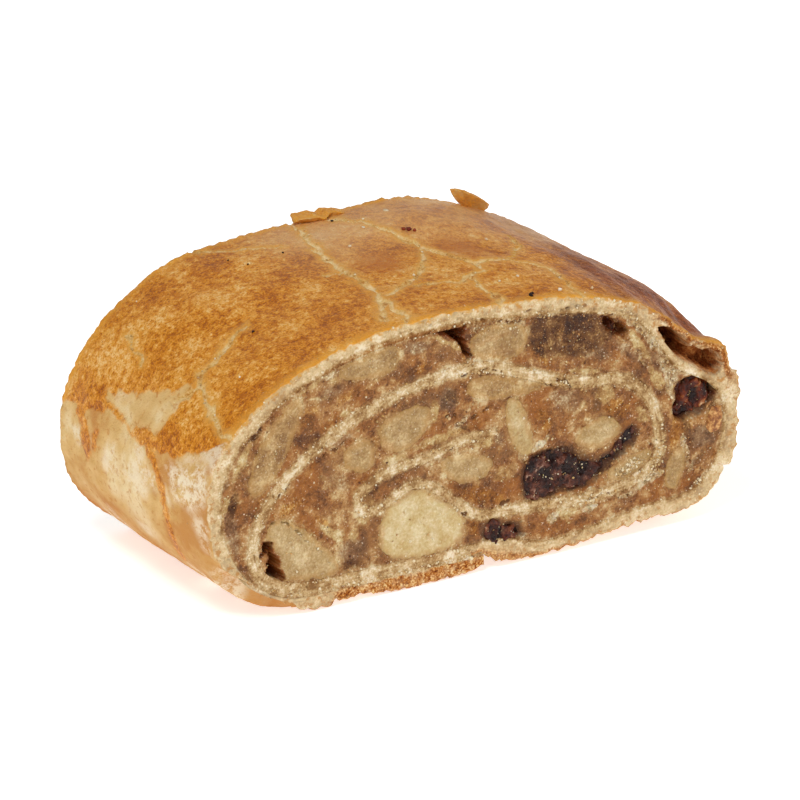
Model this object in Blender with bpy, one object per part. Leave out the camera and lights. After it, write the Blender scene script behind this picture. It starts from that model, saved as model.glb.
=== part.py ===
"""A cut length of apple strudel, lying on its baked base.

One sheet of dough is rolled up clockwise from the core to a seam under the base.  The fruit
filling runs through the roll between the turns, and the two cuts show diced apple, raisins
and a nut that lie in it.  X runs across the cut, Y along the roll, and Z up from the table.
"""

import math

import bmesh
import bpy

MM = 0.001

# Driving dimensions, in millimetres.
LENGTH = 50.0
GAP = 0.32
CUT = LENGTH / 2
SWELL_WIDTH = 0.014
SWELL_HEIGHT = 0.02

# Where the middle of the sheet runs level or upright, from the seam under the base in to the
# core: x, z, the way it heads there, and how full the bend that leads to it is.
ROLL = (
    (2.0, 1.45, "left", 2.0),
    (-33.0, 1.45, "left", 2.0),
    (-53.0, 23.5, "up", 2.1),
    (-9.0, 48.1, "right", 2.0),
    (52.7, 19.0, "down", 2.33),
    (40.0, 4.0, "left", 2.3),
    (15.5, 1.45, "left", 2.0),
    (3.0, 4.4, "left", 2.0),
    (-30.0, 4.5, "left", 2.0),
    (-45.2, 14.0, "up", 2.5),
    (-2.0, 38.5, "right", 1.8),
    (25.0, 30.8, "right", 2.0),
    (38.0, 16.0, "down", 2.2),
    (24.0, 9.2, "left", 2.2),
    (2.5, 10.4, "left", 2.0),
    (-12.5, 19.3, "left", 2.0),
    (-20.5, 16.0, "left", 2.0),
    (-24.0, 18.3, "up", 2.0),
    (-12.5, 23.4, "right", 1.8),
    (-1.0, 25.5, "right", 2.0),
    (4.5, 25.6, "right", 2.0),
)
# Numbers of the rows above where the sheet lies on its own seam, and where the core starts.
SEAM_COVERED, CORE_START = 7, 13
# Low on the left the inner turn comes to lie on the crust, and the filling between them ends:
# the sheet's middle there, on the crust and on the inner turn.
FILLING_ENDS_AT = ((-47.4, 7.6), (-44.3, 9.6))
CRUST = 2.9
INNER_TURN = 2.2
CORE_TURN = 1.9
BEND_STEPS = 24
TURN_A_POINT = math.radians(11)
LONGEST_STEP = 6.0
DRAW_STEPS = 80
ROOM_NEEDED = 0.04
NEARBY = 8
SHARP = math.radians(35)

# The heel, where the crust is puffed outwards low on the left: place, reach, extra thickness.
HEEL_AT = (-49.0, 9.5)
HEEL_REACH = 15.0
HEEL_EXTRA = 0.4

# The blister in the crust's right shoulder: the sheet splits there round a pocket of air,
# and its inner leaf runs straight across.
BLISTER_AT = (46.5, 35.5)
BLISTER_REACH = 17.0
BLISTER_EXTRA = 5.4
BLISTER_FADE = 18.0
POCKET = (
    (37.7, 37.3), (39.4, 38.2), (42.8, 36.8), (46.4, 33.6), (50.2, 31.0), (50.9, 28.0),
    (47.4, 28.2), (43.0, 31.0), (40.0, 33.6), (38.2, 35.8),
)
POCKET_DEPTH = 13.0
SLICES = (-CUT, -CUT / 3, CUT / 4, CUT)

# Fruit at each cut: the corners of the piece where the knife went through it, and how deep it
# goes.  Every corner is rounded, and no piece comes nearer to the sheet than GAP.
FRONT_APPLES = (
    (((-19.0, 6.0), (-2.6, 6.0), (-2.6, 11.0), (-5.4, 14.2), (-9.5, 17.5), (-15.4, 17.4), (-19.0, 15.6)), 13.0),
    (((-42.6, 16.2), (-40.6, 18.8), (-36.6, 17.0), (-27.6, 8.0), (-28.2, 5.8), (-39.6, 6.2), (-40.8, 13.0)), 12.0),
    (((-46.2, 23.5), (-42.0, 24.5), (-38.0, 31.5), (-34.2, 39.6), (-37.4, 40.2), (-44.8, 31.5)), 10.0),
    (((-28.8, 42.5), (-21.5, 40.6), (-15.4, 42.0), (-15.6, 46.2), (-24.5, 46.2)), 9.0),
    (((-20.0, 32.4), (-10.0, 34.0), (-9.0, 30.0), (-14.0, 25.8), (-18.6, 27.0)), 10.0),
    (((-27.0, 28.6), (-21.6, 30.0), (-20.2, 26.2), (-22.0, 23.6), (-26.0, 24.8)), 8.0),
    (((-8.0, 22.4), (-2.0, 23.0), (4.0, 20.4), (2.0, 17.4), (-4.4, 17.6)), 9.0),
    (((5.8, 30.2), (8.6, 31.4), (12.0, 21.8), (10.8, 19.8), (8.2, 21.2)), 7.0),
    (((20.4, 20.8), (24.2, 23.8), (29.2, 22.8), (29.6, 20.0), (25.2, 17.6), (21.4, 19.6)), 8.0),
    (((26.4, 12.2), (31.0, 15.0), (36.6, 15.6), (37.0, 12.6), (30.2, 10.0)), 8.0),
    (((38.8, 8.6), (40.6, 14.2), (43.2, 14.4), (43.0, 9.6), (40.8, 6.6)), 7.0),
    (((-1.6, 40.4), (0.2, 45.4), (8.0, 45.0), (11.0, 43.0), (9.4, 38.6), (3.0, 39.4)), 10.0),
    (((-2.4, 36.2), (5.0, 36.0), (13.6, 32.6), (12.8, 31.4), (0.0, 31.9)), 8.0),
)
FRONT_RAISINS = (
    (((10.8, 16.6), (12.2, 19.4), (15.4, 19.2), (16.0, 15.0), (15.6, 11.0), (12.8, 10.8), (10.8, 13.2)), 7.0),
    (((16.7, 18.6), (20.4, 18.6), (25.0, 15.9), (25.6, 12.6), (22.6, 11.0), (17.6, 11.0), (16.7, 14.6)), 7.0),
    (((26.0, 13.4), (29.0, 15.6), (33.2, 17.2), (34.0, 20.9), (31.6, 19.2), (28.0, 16.6), (25.8, 15.2)), 5.0),
    (((0.3, 7.2), (2.6, 9.4), (6.0, 7.8), (10.0, 7.4), (10.4, 6.0), (7.6, 3.8), (1.4, 4.4)), 6.0),
    (((43.0, 22.8), (44.6, 26.4), (47.2, 27.2), (49.8, 24.8), (50.4, 22.0), (46.6, 21.4)), 7.0),
)
FRONT_NUTS = ((((48.0, 17.0), (48.6, 20.8), (51.0, 20.8), (50.8, 17.2), (49.6, 16.0)), 3.0),)
BACK_APPLES = (
    (((-40.2, 27.4), (-33.0, 31.6), (-30.6, 37.8), (-36.4, 38.6), (-41.6, 33.6)), 9.0),
    (((-38.4, 8.2), (-28.4, 7.2), (-26.4, 15.8), (-35.0, 18.6)), 11.0),
    (((-16.6, 6.6), (-6.0, 6.6), (-5.6, 12.8), (-12.6, 15.8), (-17.0, 12.4)), 10.0),
    (((-22.0, 28.6), (-12.6, 27.4), (-10.8, 33.2), (-17.0, 34.6)), 9.0),
    (((10.0, 14.4), (19.0, 13.0), (21.0, 19.6), (14.0, 23.4)), 11.0),
    (((8.6, 38.4), (20.6, 36.0), (24.6, 41.4), (13.6, 45.0)), 10.0),
    (((42.0, 10.6), (48.0, 12.6), (47.4, 22.0), (42.2, 20.4)), 9.0),
    (((12.0, 3.6), (24.0, 3.6), (23.0, 7.2), (13.0, 7.6)), 8.0),
)
BACK_RAISINS = (
    (((-8.0, 41.2), (-1.4, 41.0), (0.6, 43.6), (-4.4, 45.6), (-9.0, 44.0)), 6.0),
    (((-2.0, 31.2), (4.0, 30.0), (6.6, 33.2), (1.0, 35.2)), 6.0),
    (((26.0, 18.0), (31.4, 17.4), (33.4, 22.4), (28.0, 24.0)), 6.0),
    (((-50.4, 22.0), (-47.8, 21.4), (-46.4, 26.0), (-48.4, 28.6), (-50.8, 26.4)), 6.0),
)

# Hollows that show in the front cut, each open to the cut: corners and depth.
FRONT_HOLLOWS = (
    (((-43.9, 14.6), (-41.6, 14.6), (-40.4, 11.4), (-38.8, 7.0), (-41.2, 6.8), (-43.2, 9.4)), 9.0),
    (((-10.0, 47.0), (-1.0, 47.0), (-1.2, 44.0), (-2.2, 40.6), (-3.6, 43.6), (-6.4, 45.6)), 8.0),
    (((15.6, 43.4), (18.4, 45.6), (24.2, 45.4), (28.0, 42.6), (31.2, 39.6), (29.6, 37.8), (26.4, 40.4), (21.0, 43.0)), 5.0),
)

DOUGH_COLOUR = (0.80, 0.58, 0.31)
FILLING_COLOUR = (0.36, 0.20, 0.10)
APPLE_COLOUR = (0.76, 0.62, 0.32)
RAISIN_COLOUR = (0.06, 0.025, 0.018)
NUT_COLOUR = (0.62, 0.36, 0.14)


# ---------------------------------------------------------------- the path of the sheet


def bend(start, end):
    """Points from one level or upright spot of the sheet to the next, without the first."""
    (x0, z0, way0, _), (x1, z1, way1, fullness) = start, end
    points = []
    for k in range(1, BEND_STEPS + 1):
        t = k / BEND_STEPS
        if way0 == way1:
            points.append((x0 + (x1 - x0) * t, z0 + (z1 - z0) * ease(t)))
            continue
        near = max(math.cos(t * math.pi / 2), 0.0) ** (2 / fullness)
        far = math.sin(t * math.pi / 2) ** (2 / fullness)
        if way0 in ("left", "right"):
            points.append((x0 + (x1 - x0) * far, z1 + (z0 - z1) * near))
        else:
            points.append((x1 + (x0 - x1) * near, z0 + (z1 - z0) * far))
    return points


def ease(t):
    """A smooth step from 0 to 1."""
    t = min(max(t, 0.0), 1.0)
    return t * t * (3 - 2 * t)


def sheet_path():
    """The middle line of the sheet, from the seam to the core, with points where it turns."""
    kept = [ROLL[0][:2]]
    way = math.pi
    for start, end in zip(ROLL, ROLL[1:]):
        last = start[:2]
        for point in bend(start, end):
            here = math.atan2(point[1] - last[1], point[0] - last[0])
            turned = abs(math.remainder(here - way, math.tau))
            far = math.hypot(point[0] - kept[-1][0], point[1] - kept[-1][1])
            level = start[1] == end[1]
            if (turned > TURN_A_POINT or far > LONGEST_STEP) and not level and last != kept[-1]:
                kept.append(last)
                way = here
            last = point
        if math.hypot(last[0] - kept[-1][0], last[1] - kept[-1][1]) < 0.8:
            kept.pop()
        kept.append(end[:2])
        way = {"left": math.pi, "up": math.pi / 2, "right": 0.0, "down": -math.pi / 2}[end[2]]
    return kept


def lengths_along(points):
    """How far along the line each point lies."""
    total = [0.0]
    for (x0, z0), (x1, z1) in zip(points, points[1:]):
        total.append(total[-1] + math.hypot(x1 - x0, z1 - z0))
    return total


def inward_normals(points):
    """Unit vectors to the right of the way the sheet heads, which is the inside of the roll."""
    normals = []
    for k in range(len(points)):
        (x0, z0), (x1, z1) = points[max(k - 1, 0)], points[min(k + 1, len(points) - 1)]
        size = math.hypot(x1 - x0, z1 - z0)
        normals.append(((z1 - z0) / size, -(x1 - x0) / size))
    return normals


PATH = sheet_path()
ALONG = lengths_along(PATH)
INWARD = inward_normals(PATH)


def nearest_index(x, z):
    """The number of the path point nearest to a place."""
    return min(range(len(PATH)), key=lambda k: math.hypot(PATH[k][0] - x, PATH[k][1] - z))


SEAM_COVERED_AT = ALONG[nearest_index(*ROLL[SEAM_COVERED][:2])]
CORE_STARTS_AT = ALONG[nearest_index(*ROLL[CORE_START][:2])]
HEEL_MIDDLE = ALONG[nearest_index(*HEEL_AT)]
BLISTER_MIDDLE = ALONG[nearest_index(*BLISTER_AT)]


def half_thickness(s):
    """Half the sheet's thickness: the baked crust is the thickest, the core the thinnest."""
    thick = CRUST + (INNER_TURN - CRUST) * ease((s - SEAM_COVERED_AT + 10.0) / 10.0)
    thick += (CORE_TURN - INNER_TURN) * ease((s - CORE_STARTS_AT) / 20.0)
    thick -= 0.7 * ease((s - ALONG[-1] + 6.0) / 6.0)
    return thick / 2


def outside(s):
    """How far the sheet's outer side lies from its middle line."""
    return half_thickness(s) + HEEL_EXTRA * (1 - ease(abs(s - HEEL_MIDDLE) / HEEL_REACH))


def inside(s, y):
    """How far the sheet's inner side lies from its middle line: the blister fades inwards."""
    fade = 1 - ease((y + CUT - POCKET_DEPTH) / BLISTER_FADE)
    return half_thickness(s) + BLISTER_EXTRA * fade * (1 - ease(abs(s - BLISTER_MIDDLE) / BLISTER_REACH))


# ---------------------------------------------------------------- solids


def offset_point(k, distance):
    """Path point k, moved towards the inside of the roll."""
    return PATH[k][0] + INWARD[k][0] * distance, PATH[k][1] + INWARD[k][1] * distance


CRUST_X = [offset_point(k, -outside(ALONG[k]))[0] for k in range(len(PATH))]
MIDDLE = (min(CRUST_X) + max(CRUST_X)) / 2


def placed(x, y, z):
    """A place on the finished roll: centred across, and a little fuller halfway along."""
    middle = 1 - (y / CUT) ** 2
    return (x - MIDDLE) * (1 + SWELL_WIDTH * middle), y, z * (1 + SWELL_HEIGHT * middle)


def material(name, colour, roughness):
    """A plain Principled material."""
    made = bpy.data.materials.new(name)
    made.use_nodes = True
    shader = made.node_tree.nodes["Principled BSDF"]
    shader.inputs["Base Color"].default_value = (*colour, 1.0)
    shader.inputs["Roughness"].default_value = roughness
    shader.inputs["Metallic"].default_value = 0.0
    made.diffuse_color = (*colour, 1.0)
    return made


def solid_of_rings(name, rings):
    """A closed object through equal rings of (x, y, z) in millimetres, capped at both ends."""
    made = bmesh.new()
    rows = [[made.verts.new([c * MM for c in point]) for point in ring] for ring in rings]
    count = len(rings[0])
    for one, two in zip(rows, rows[1:]):
        for k in range(count):
            made.faces.new((one[k], one[(k + 1) % count], two[(k + 1) % count], two[k]))
    made.faces.new(reversed(rows[0]))
    made.faces.new(rows[-1])
    bmesh.ops.recalc_face_normals(made, faces=made.faces)
    mesh = bpy.data.meshes.new(name)
    made.to_mesh(mesh)
    made.free()
    obj = bpy.data.objects.new(name, mesh)
    bpy.context.scene.collection.objects.link(obj)
    return obj


def nearest_on_sheet(x, z, first=0, last=None):
    """The nearest point of the middle line: distance, the point, its length along, its side."""
    best = (math.inf, 0.0, 0.0, 0.0, 0.0)
    for k in range(first, len(PATH) - 1 if last is None else last):
        (x0, z0), (x1, z1) = PATH[k], PATH[k + 1]
        dx, dz = x1 - x0, z1 - z0
        t = ((x - x0) * dx + (z - z0) * dz) / (dx * dx + dz * dz)
        t = min(max(t, 0.0), 1.0)
        px, pz = x0 + dx * t, z0 + dz * t
        distance = math.hypot(x - px, z - pz)
        if distance < best[0]:
            side = (x - px) * dz - (z - pz) * dx
            best = (distance, px, pz, ALONG[k] + t * (ALONG[k + 1] - ALONG[k]), side)
    return best


def clear_of_sheet(x, z, y):
    """Whether a place keeps its distance from the sheet."""
    distance, _, _, s, side = nearest_on_sheet(x, z)
    return distance >= GAP + (inside(s, y) if side > 0 else outside(s))


def roomy(k):
    """Whether the sheet's inner side has room at path point k, as it has but in a tight fold."""
    reach = half_thickness(ALONG[k]) + GAP
    x, z = offset_point(k, reach)
    first, last = max(k - NEARBY, 0), min(k + NEARBY, len(PATH) - 1)
    return nearest_on_sheet(x, z, first, last)[0] > reach - ROOM_NEEDED


def kept_off_sheet(outline, y):
    """The outline with every point drawn in towards the middle until it is clear of the sheet."""
    mid_x = sum(x for x, _ in outline) / len(outline)
    mid_z = sum(z for _, z in outline) / len(outline)
    kept = []
    for x, z in outline:
        reach = 0.0
        for k in range(1, DRAW_STEPS + 1):
            t = k / DRAW_STEPS
            if not clear_of_sheet(mid_x + (x - mid_x) * t, mid_z + (z - mid_z) * t, y):
                break
            reach = t
        kept.append((mid_x + (x - mid_x) * reach, mid_z + (z - mid_z) * reach))
    return kept


def rounded(corners):
    """A closed outline with each corner cut back."""
    cut = []
    for (x0, z0), (x1, z1) in zip(corners, corners[1:] + corners[:1]):
        cut.append((x0 * 0.75 + x1 * 0.25, z0 * 0.75 + z1 * 0.25))
        cut.append((x0 * 0.25 + x1 * 0.75, z0 * 0.25 + z1 * 0.75))
    return tuple(cut)


def grown(outline, margin):
    """The outline moved outwards by a margin."""
    area = sum(x0 * z1 - x1 * z0 for (x0, z0), (x1, z1) in zip(outline, outline[1:] + outline[:1]))
    side = math.copysign(margin, area)
    moved = []
    for k in range(len(outline)):
        (x0, z0), (x1, z1) = outline[k - 1], outline[(k + 1) % len(outline)]
        size = math.hypot(x1 - x0, z1 - z0)
        moved.append((outline[k][0] + side * (z1 - z0) / size, outline[k][1] - side * (x1 - x0) / size))
    return tuple(moved)


def fruit(name, corners, depth, front, margin=0.0):
    """A piece of fruit cut through by the knife: full at the cut and rounded off inside."""
    way = 1 if front else -1
    cut = -CUT if front else CUT
    outline = kept_off_sheet(rounded(corners), cut)
    outline = grown(tuple(outline), margin) if margin else outline
    mid_x = sum(x for x, _ in outline) / len(outline)
    mid_z = sum(z for _, z in outline) / len(outline)
    rings = []
    for share, size in ((0.0, 1.0), (0.7, 0.95), (1.0, 0.55)):
        y = cut + way * (depth + margin) * share
        y -= way * margin * 3 if margin and not share else 0.0
        rings.append([(mid_x + (x - mid_x) * size, y, mid_z + (z - mid_z) * size) for x, z in outline])
    return solid_of_rings(name, rings)


def carve(body, cutters):
    """Cuts the cutters out of a body one after another, and removes them."""
    for cutter in cutters:
        cut = body.modifiers.new(cutter.name, "BOOLEAN")
        cut.operation = "DIFFERENCE"
        cut.solver = "EXACT"
        cut.object = cutter
    graph = bpy.context.evaluated_depsgraph_get()
    mesh = bpy.data.meshes.new_from_object(body.evaluated_get(graph))
    body.modifiers.clear()
    body.data = mesh
    for cutter in cutters:
        bpy.data.objects.remove(cutter)


def finish(obj, looks):
    """Slices a solid at the shared stations, places it, and gives it its material."""
    made = bmesh.new()
    made.from_mesh(obj.data)
    for y in SLICES[1:-1]:
        geometry = list(made.verts) + list(made.edges) + list(made.faces)
        bmesh.ops.bisect_plane(made, geom=geometry, plane_co=(0, y * MM, 0), plane_no=(0, 1, 0), dist=1e-6)
    bmesh.ops.remove_doubles(made, verts=made.verts, dist=2e-5)
    bmesh.ops.dissolve_degenerate(made, edges=made.edges, dist=1e-5)
    bmesh.ops.triangulate(made, faces=made.faces)
    for vert in made.verts:
        vert.co = [c * MM for c in placed(*(c / MM for c in vert.co))]
    made.to_mesh(obj.data)
    made.free()
    obj.data.shade_smooth()
    obj.data.set_sharp_from_angle(angle=SHARP)
    obj.data.materials.clear()
    obj.data.materials.append(looks)


def make_dough():
    """The rolled sheet, with the pocket of air in its right shoulder."""
    rings = []
    for y in SLICES:
        out = [offset_point(k, -outside(ALONG[k])) for k in range(len(PATH))]
        back = [offset_point(k, inside(ALONG[k], y)) for k in reversed(range(len(PATH))) if roomy(k)]
        rings.append([(x, y, z) for x, z in out + back])
    dough = solid_of_rings("dough", rings)
    carve(dough, [pocket()])
    return dough


def pocket():
    """The cutter for the pocket of air, which narrows inwards from the cut."""
    mid_x = sum(x for x, _ in POCKET) / len(POCKET)
    mid_z = sum(z for _, z in POCKET) / len(POCKET)
    rings = []
    for y, size in ((-CUT - 1.0, 1.0), (-CUT + POCKET_DEPTH * 0.6, 0.9), (-CUT + POCKET_DEPTH, 0.45)):
        rings.append([(mid_x + (x - mid_x) * size, y, mid_z + (z - mid_z) * size) for x, z in POCKET])
    return solid_of_rings("pocket", rings)


def make_filling(pieces):
    """All the room between the turns of the sheet, less the fruit and the hollows."""
    first, last = (nearest_index(*place) for place in FILLING_ENDS_AT)
    end = len(PATH) - 1
    tip = PATH[end][0] + GAP
    rings = []
    for y in SLICES:
        out = [offset_point(k, inside(ALONG[k], y) + GAP) for k in range(first, end + 1) if roomy(k)]
        back = [offset_point(k, -outside(ALONG[k]) - GAP) for k in range(end, last - 1, -1)]
        ring = out + [(tip, out[-1][1]), (tip, back[0][1])] + back
        rings.append([(x, y, z) for x, z in ring])
    filling = solid_of_rings("filling", rings)
    spaces = [fruit("space", *piece, margin=GAP) for piece in pieces]
    spaces += [hollow(corners, depth) for corners, depth in FRONT_HOLLOWS]
    carve(filling, spaces)
    return filling


def hollow(corners, depth):
    """The cutter for a hollow that opens at the front cut."""
    outline = rounded(corners)
    rings = [[(x, y, z) for x, z in outline] for y in (-CUT - 1.0, -CUT + depth)]
    return solid_of_rings("hollow", rings)


def build():
    """Makes the whole object."""
    for obj in list(bpy.data.objects):
        bpy.data.objects.remove(obj)
    dough_looks = material("dough", DOUGH_COLOUR, 0.6)
    filling_looks = material("filling", FILLING_COLOUR, 0.5)
    kinds = (
        ("apple_front", FRONT_APPLES, True, material("apple", APPLE_COLOUR, 0.4)),
        ("raisin_front", FRONT_RAISINS, True, material("raisin", RAISIN_COLOUR, 0.4)),
        ("nut_front", FRONT_NUTS, True, material("nut", NUT_COLOUR, 0.6)),
        ("apple_back", BACK_APPLES, False, bpy.data.materials["apple"]),
        ("raisin_back", BACK_RAISINS, False, bpy.data.materials["raisin"]),
    )
    finish(make_dough(), dough_looks)
    pieces = []
    for kind, rows, front, looks in kinds:
        for number, (corners, depth) in enumerate(rows, 1):
            pieces.append((corners, depth, front))
            finish(fruit(f"{kind}_{number:02d}", corners, depth, front), looks)
    finish(make_filling(pieces), filling_looks)


build()
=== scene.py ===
"""The looks of a cut length of apple strudel, built around its CAD solids.

Strudel dough is rolled up round a filling of apple, raisins and nuts, glazed, baked on a
tray and cut across.  X runs across the cut, Y along the roll and Z up.  Sizes below are in
millimetres and follow the CAD source, except where a comment says otherwise; a piece's points
are turned to metres when it is made.
"""

import math

import bmesh
import bpy
import numpy as np
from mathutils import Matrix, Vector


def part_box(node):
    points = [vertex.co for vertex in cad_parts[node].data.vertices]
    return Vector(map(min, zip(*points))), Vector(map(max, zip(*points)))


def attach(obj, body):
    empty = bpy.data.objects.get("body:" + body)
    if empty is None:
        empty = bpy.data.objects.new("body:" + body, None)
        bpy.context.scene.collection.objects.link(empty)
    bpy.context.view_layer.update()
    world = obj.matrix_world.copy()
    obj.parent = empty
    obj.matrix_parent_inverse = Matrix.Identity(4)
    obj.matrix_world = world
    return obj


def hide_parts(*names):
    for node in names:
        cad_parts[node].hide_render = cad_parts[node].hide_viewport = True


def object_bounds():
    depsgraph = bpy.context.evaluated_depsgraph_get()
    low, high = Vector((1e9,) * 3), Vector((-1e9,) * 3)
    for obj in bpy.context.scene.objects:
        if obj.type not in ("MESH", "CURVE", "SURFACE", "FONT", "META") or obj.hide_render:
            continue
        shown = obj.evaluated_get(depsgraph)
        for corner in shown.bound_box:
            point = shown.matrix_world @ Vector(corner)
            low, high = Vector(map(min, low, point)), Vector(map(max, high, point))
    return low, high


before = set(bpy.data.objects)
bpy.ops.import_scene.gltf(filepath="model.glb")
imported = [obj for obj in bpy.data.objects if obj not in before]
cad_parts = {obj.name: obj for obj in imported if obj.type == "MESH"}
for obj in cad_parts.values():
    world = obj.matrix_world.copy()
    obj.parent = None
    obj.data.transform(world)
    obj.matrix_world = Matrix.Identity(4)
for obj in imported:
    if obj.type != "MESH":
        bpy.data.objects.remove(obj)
cad_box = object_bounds()
MM = 0.001


# ---------------------------------------------------------------- the table and the lights
# The strudel lies on a white table in an even white room, under three broad soft lights, and is
# seen from the front left and a little above, as food on a table is.

CAMERA_TURN = math.radians(31.8)
CAMERA_RISE = math.radians(21.8)
CAMERA_DISTANCE = 2500.0
SEEN_WIDTH = 139.8
CAMERA_FILM = 36.0
AIM = (0.27, 0.0, -1.4)


def linear(code):
    """The linear colour of an sRGB hex code."""
    channels = [int(code[k:k + 2], 16) / 255 for k in (1, 3, 5)]
    return tuple(c / 12.92 if c < 0.04045 else ((c + 0.055) / 1.055) ** 2.4 for c in channels) + (1.0,)


def add(tree, kind, inputs=(), stops=(), **settings):
    """Adds a node, sets what it is and its colour stops, and sets or links its inputs."""
    made = tree.nodes.new("ShaderNode" + kind)
    for name, value in settings.items():
        setattr(made, name, value)
    for name, value in dict(inputs).items():
        if isinstance(value, bpy.types.NodeSocket):
            tree.links.new(value, made.inputs[name])
        else:
            made.inputs[name].default_value = value
    for _ in stops[2:]:
        made.color_ramp.elements.new(1.0)
    for k, (place, colour) in enumerate(stops):
        made.color_ramp.elements[k].position = place
        made.color_ramp.elements[k].color = linear(colour)
    return made


def material(name):
    """A new material, with its node tree and its shader."""
    made = bpy.data.materials.new(name)
    made.use_nodes = True
    return made, made.node_tree, made.node_tree.nodes["Principled BSDF"]


def settle(shader, values):
    """Sets what is the same all over a material on its shader."""
    for name, value in values.items():
        shader.inputs[name].default_value = value


def aimed(obj, target):
    """Turns a camera or a light to face a place."""
    way = target - obj.location
    obj.rotation_euler = way.to_track_quat("-Z", "Y").to_euler()


low, high = (np.array(corner) for corner in cad_box)
centre = (low + high) / 2 / MM
aim = (centre + AIM) * MM
view = np.array((-math.sin(CAMERA_TURN) * math.cos(CAMERA_RISE),
                 -math.cos(CAMERA_TURN) * math.cos(CAMERA_RISE), math.sin(CAMERA_RISE)))
camera = bpy.data.objects.new("camera", bpy.data.cameras.new("camera"))
bpy.context.scene.collection.objects.link(camera)
camera.data.sensor_width = CAMERA_FILM
camera.data.lens = CAMERA_FILM * CAMERA_DISTANCE / SEEN_WIDTH
camera.data.clip_end = 20.0
camera.location = aim + view * CAMERA_DISTANCE * MM
bpy.context.view_layer.update()
aimed(camera, type(camera.location)(aim))
bpy.context.scene.camera = camera

# Each light: its name, where it stands and how wide it is in metres, and its power in watts.
LIGHTS = (
    ("key", (-0.8, -0.6, 1.5), 0.45, 12.0),
    ("fill", (0.8, -1.5, 0.8), 0.9, 7.0),
    ("back", (0.5, 1.3, 1.2), 1.2, 2.6),
)
for name, place, width, power in LIGHTS:
    lamp = bpy.data.lights.new(name, "AREA")
    lamp.shape = "SQUARE"
    lamp.size = width
    lamp.energy = power
    light = bpy.data.objects.new(name, lamp)
    bpy.context.scene.collection.objects.link(light)
    light.location = place
    aimed(light, type(light.location)(aim))

world = bpy.data.worlds.new("white_room")
world.use_nodes = True
world.node_tree.nodes["Background"].inputs["Color"].default_value = (1.0, 1.0, 1.0, 1.0)
world.node_tree.nodes["Background"].inputs["Strength"].default_value = 0.40
bpy.context.scene.world = world
bpy.context.scene.view_settings.view_transform = "Standard"

TABLE, TABLE_TOP = 30.0, -0.0002
table_mesh = bpy.data.meshes.new("table")
table_mesh.from_pydata([(x * TABLE, y * TABLE, TABLE_TOP) for x, y in ((-1, -1), (1, -1), (1, 1), (-1, 1))],
                       [], [(0, 1, 2, 3)])
table = bpy.data.objects.new("table", table_mesh)
bpy.context.scene.collection.objects.link(table)
# A matt white laminate that glows a little, so that the room's white reaches under the food.
white, tree, shader = material("white_laminate")
settle(shader, {"Base Color": linear("#f4f4f2"), "Roughness": 0.9, "Emission Color": (1.0, 1.0, 1.0, 1.0),
                "Emission Strength": 0.58})
table_mesh.materials.append(white)


# ---------------------------------------------------------------- the crust
# The outermost turn of the rolled sheet: wheat dough brushed with egg and baked, so it is
# glossy golden brown on top, pale and floury low on the sides, and browned where it lay on the
# tray.  The glaze has cracked where the crust swelled, and ran down the left side in drips.

LENGTH = 50.0
CUT = LENGTH / 2
# What lies this far out along the roll is on a cut.
ON_CUT_FROM = CUT - 0.01
SWELL_WIDTH = 0.014
SWELL_HEIGHT = 0.02
# Where the middle of the sheet runs level or upright, from the seam under the base in to the
# core: x, z, the way it heads there, and how full the bend that leads to it is.
ROLL = (
    (2.0, 1.45, "left", 2.0),
    (-33.0, 1.45, "left", 2.0),
    (-53.0, 23.5, "up", 2.1),
    (-9.0, 48.1, "right", 2.0),
    (52.7, 19.0, "down", 2.33),
    (40.0, 4.0, "left", 2.3),
    (15.5, 1.45, "left", 2.0),
    (3.0, 4.4, "left", 2.0),
    (-30.0, 4.5, "left", 2.0),
    (-45.2, 14.0, "up", 2.5),
    (-2.0, 38.5, "right", 1.8),
    (25.0, 30.8, "right", 2.0),
    (38.0, 16.0, "down", 2.2),
    (24.0, 9.2, "left", 2.2),
    (2.5, 10.4, "left", 2.0),
    (-12.5, 19.3, "left", 2.0),
    (-20.5, 16.0, "left", 2.0),
    (-24.0, 18.3, "up", 2.0),
    (-12.5, 23.4, "right", 1.8),
    (-1.0, 25.5, "right", 2.0),
    (4.5, 25.6, "right", 2.0),
)
SEAM_COVERED, CORE_START = 7, 13
CRUST, INNER_TURN, CORE_TURN = 2.9, 2.2, 1.9
HEEL_AT, HEEL_REACH, HEEL_EXTRA = (-49.0, 9.5), 15.0, 0.4
# The blister keeps its full size for a way in from the front cut, and then fades.
BLISTER_AT, BLISTER_REACH, BLISTER_EXTRA = (46.5, 35.5), 17.0, 5.4
BLISTER_FULL, BLISTER_FADE = 6.0, 18.0
POCKET = ((37.6, 37.8), (38.4, 37.9), (39.8, 37.5), (41.3, 36.4), (42.8, 34.9), (43.7, 33.8), (43.9, 32.5),
          (44.9, 32.7), (46.0, 32.1), (47.0, 31.8), (48.2, 31.9), (49.4, 30.9), (50.2, 29.5), (50.7, 28.3),
          (50.2, 27.3), (48.9, 27.0), (47.5, 28.0), (45.2, 29.4), (43.2, 30.8), (41.8, 31.7), (40.5, 33.6),
          (39.1, 35.4), (38.3, 36.7))
# How deep the pocket is, at places across the strudel: the places, then the depths.
POCKET_FALLS = ((42.6, 46.4), (11.0, 5.0))
BEND_STEPS = 60
LINE_STEP = 0.25
LINE_SMOOTHING = 5

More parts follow.
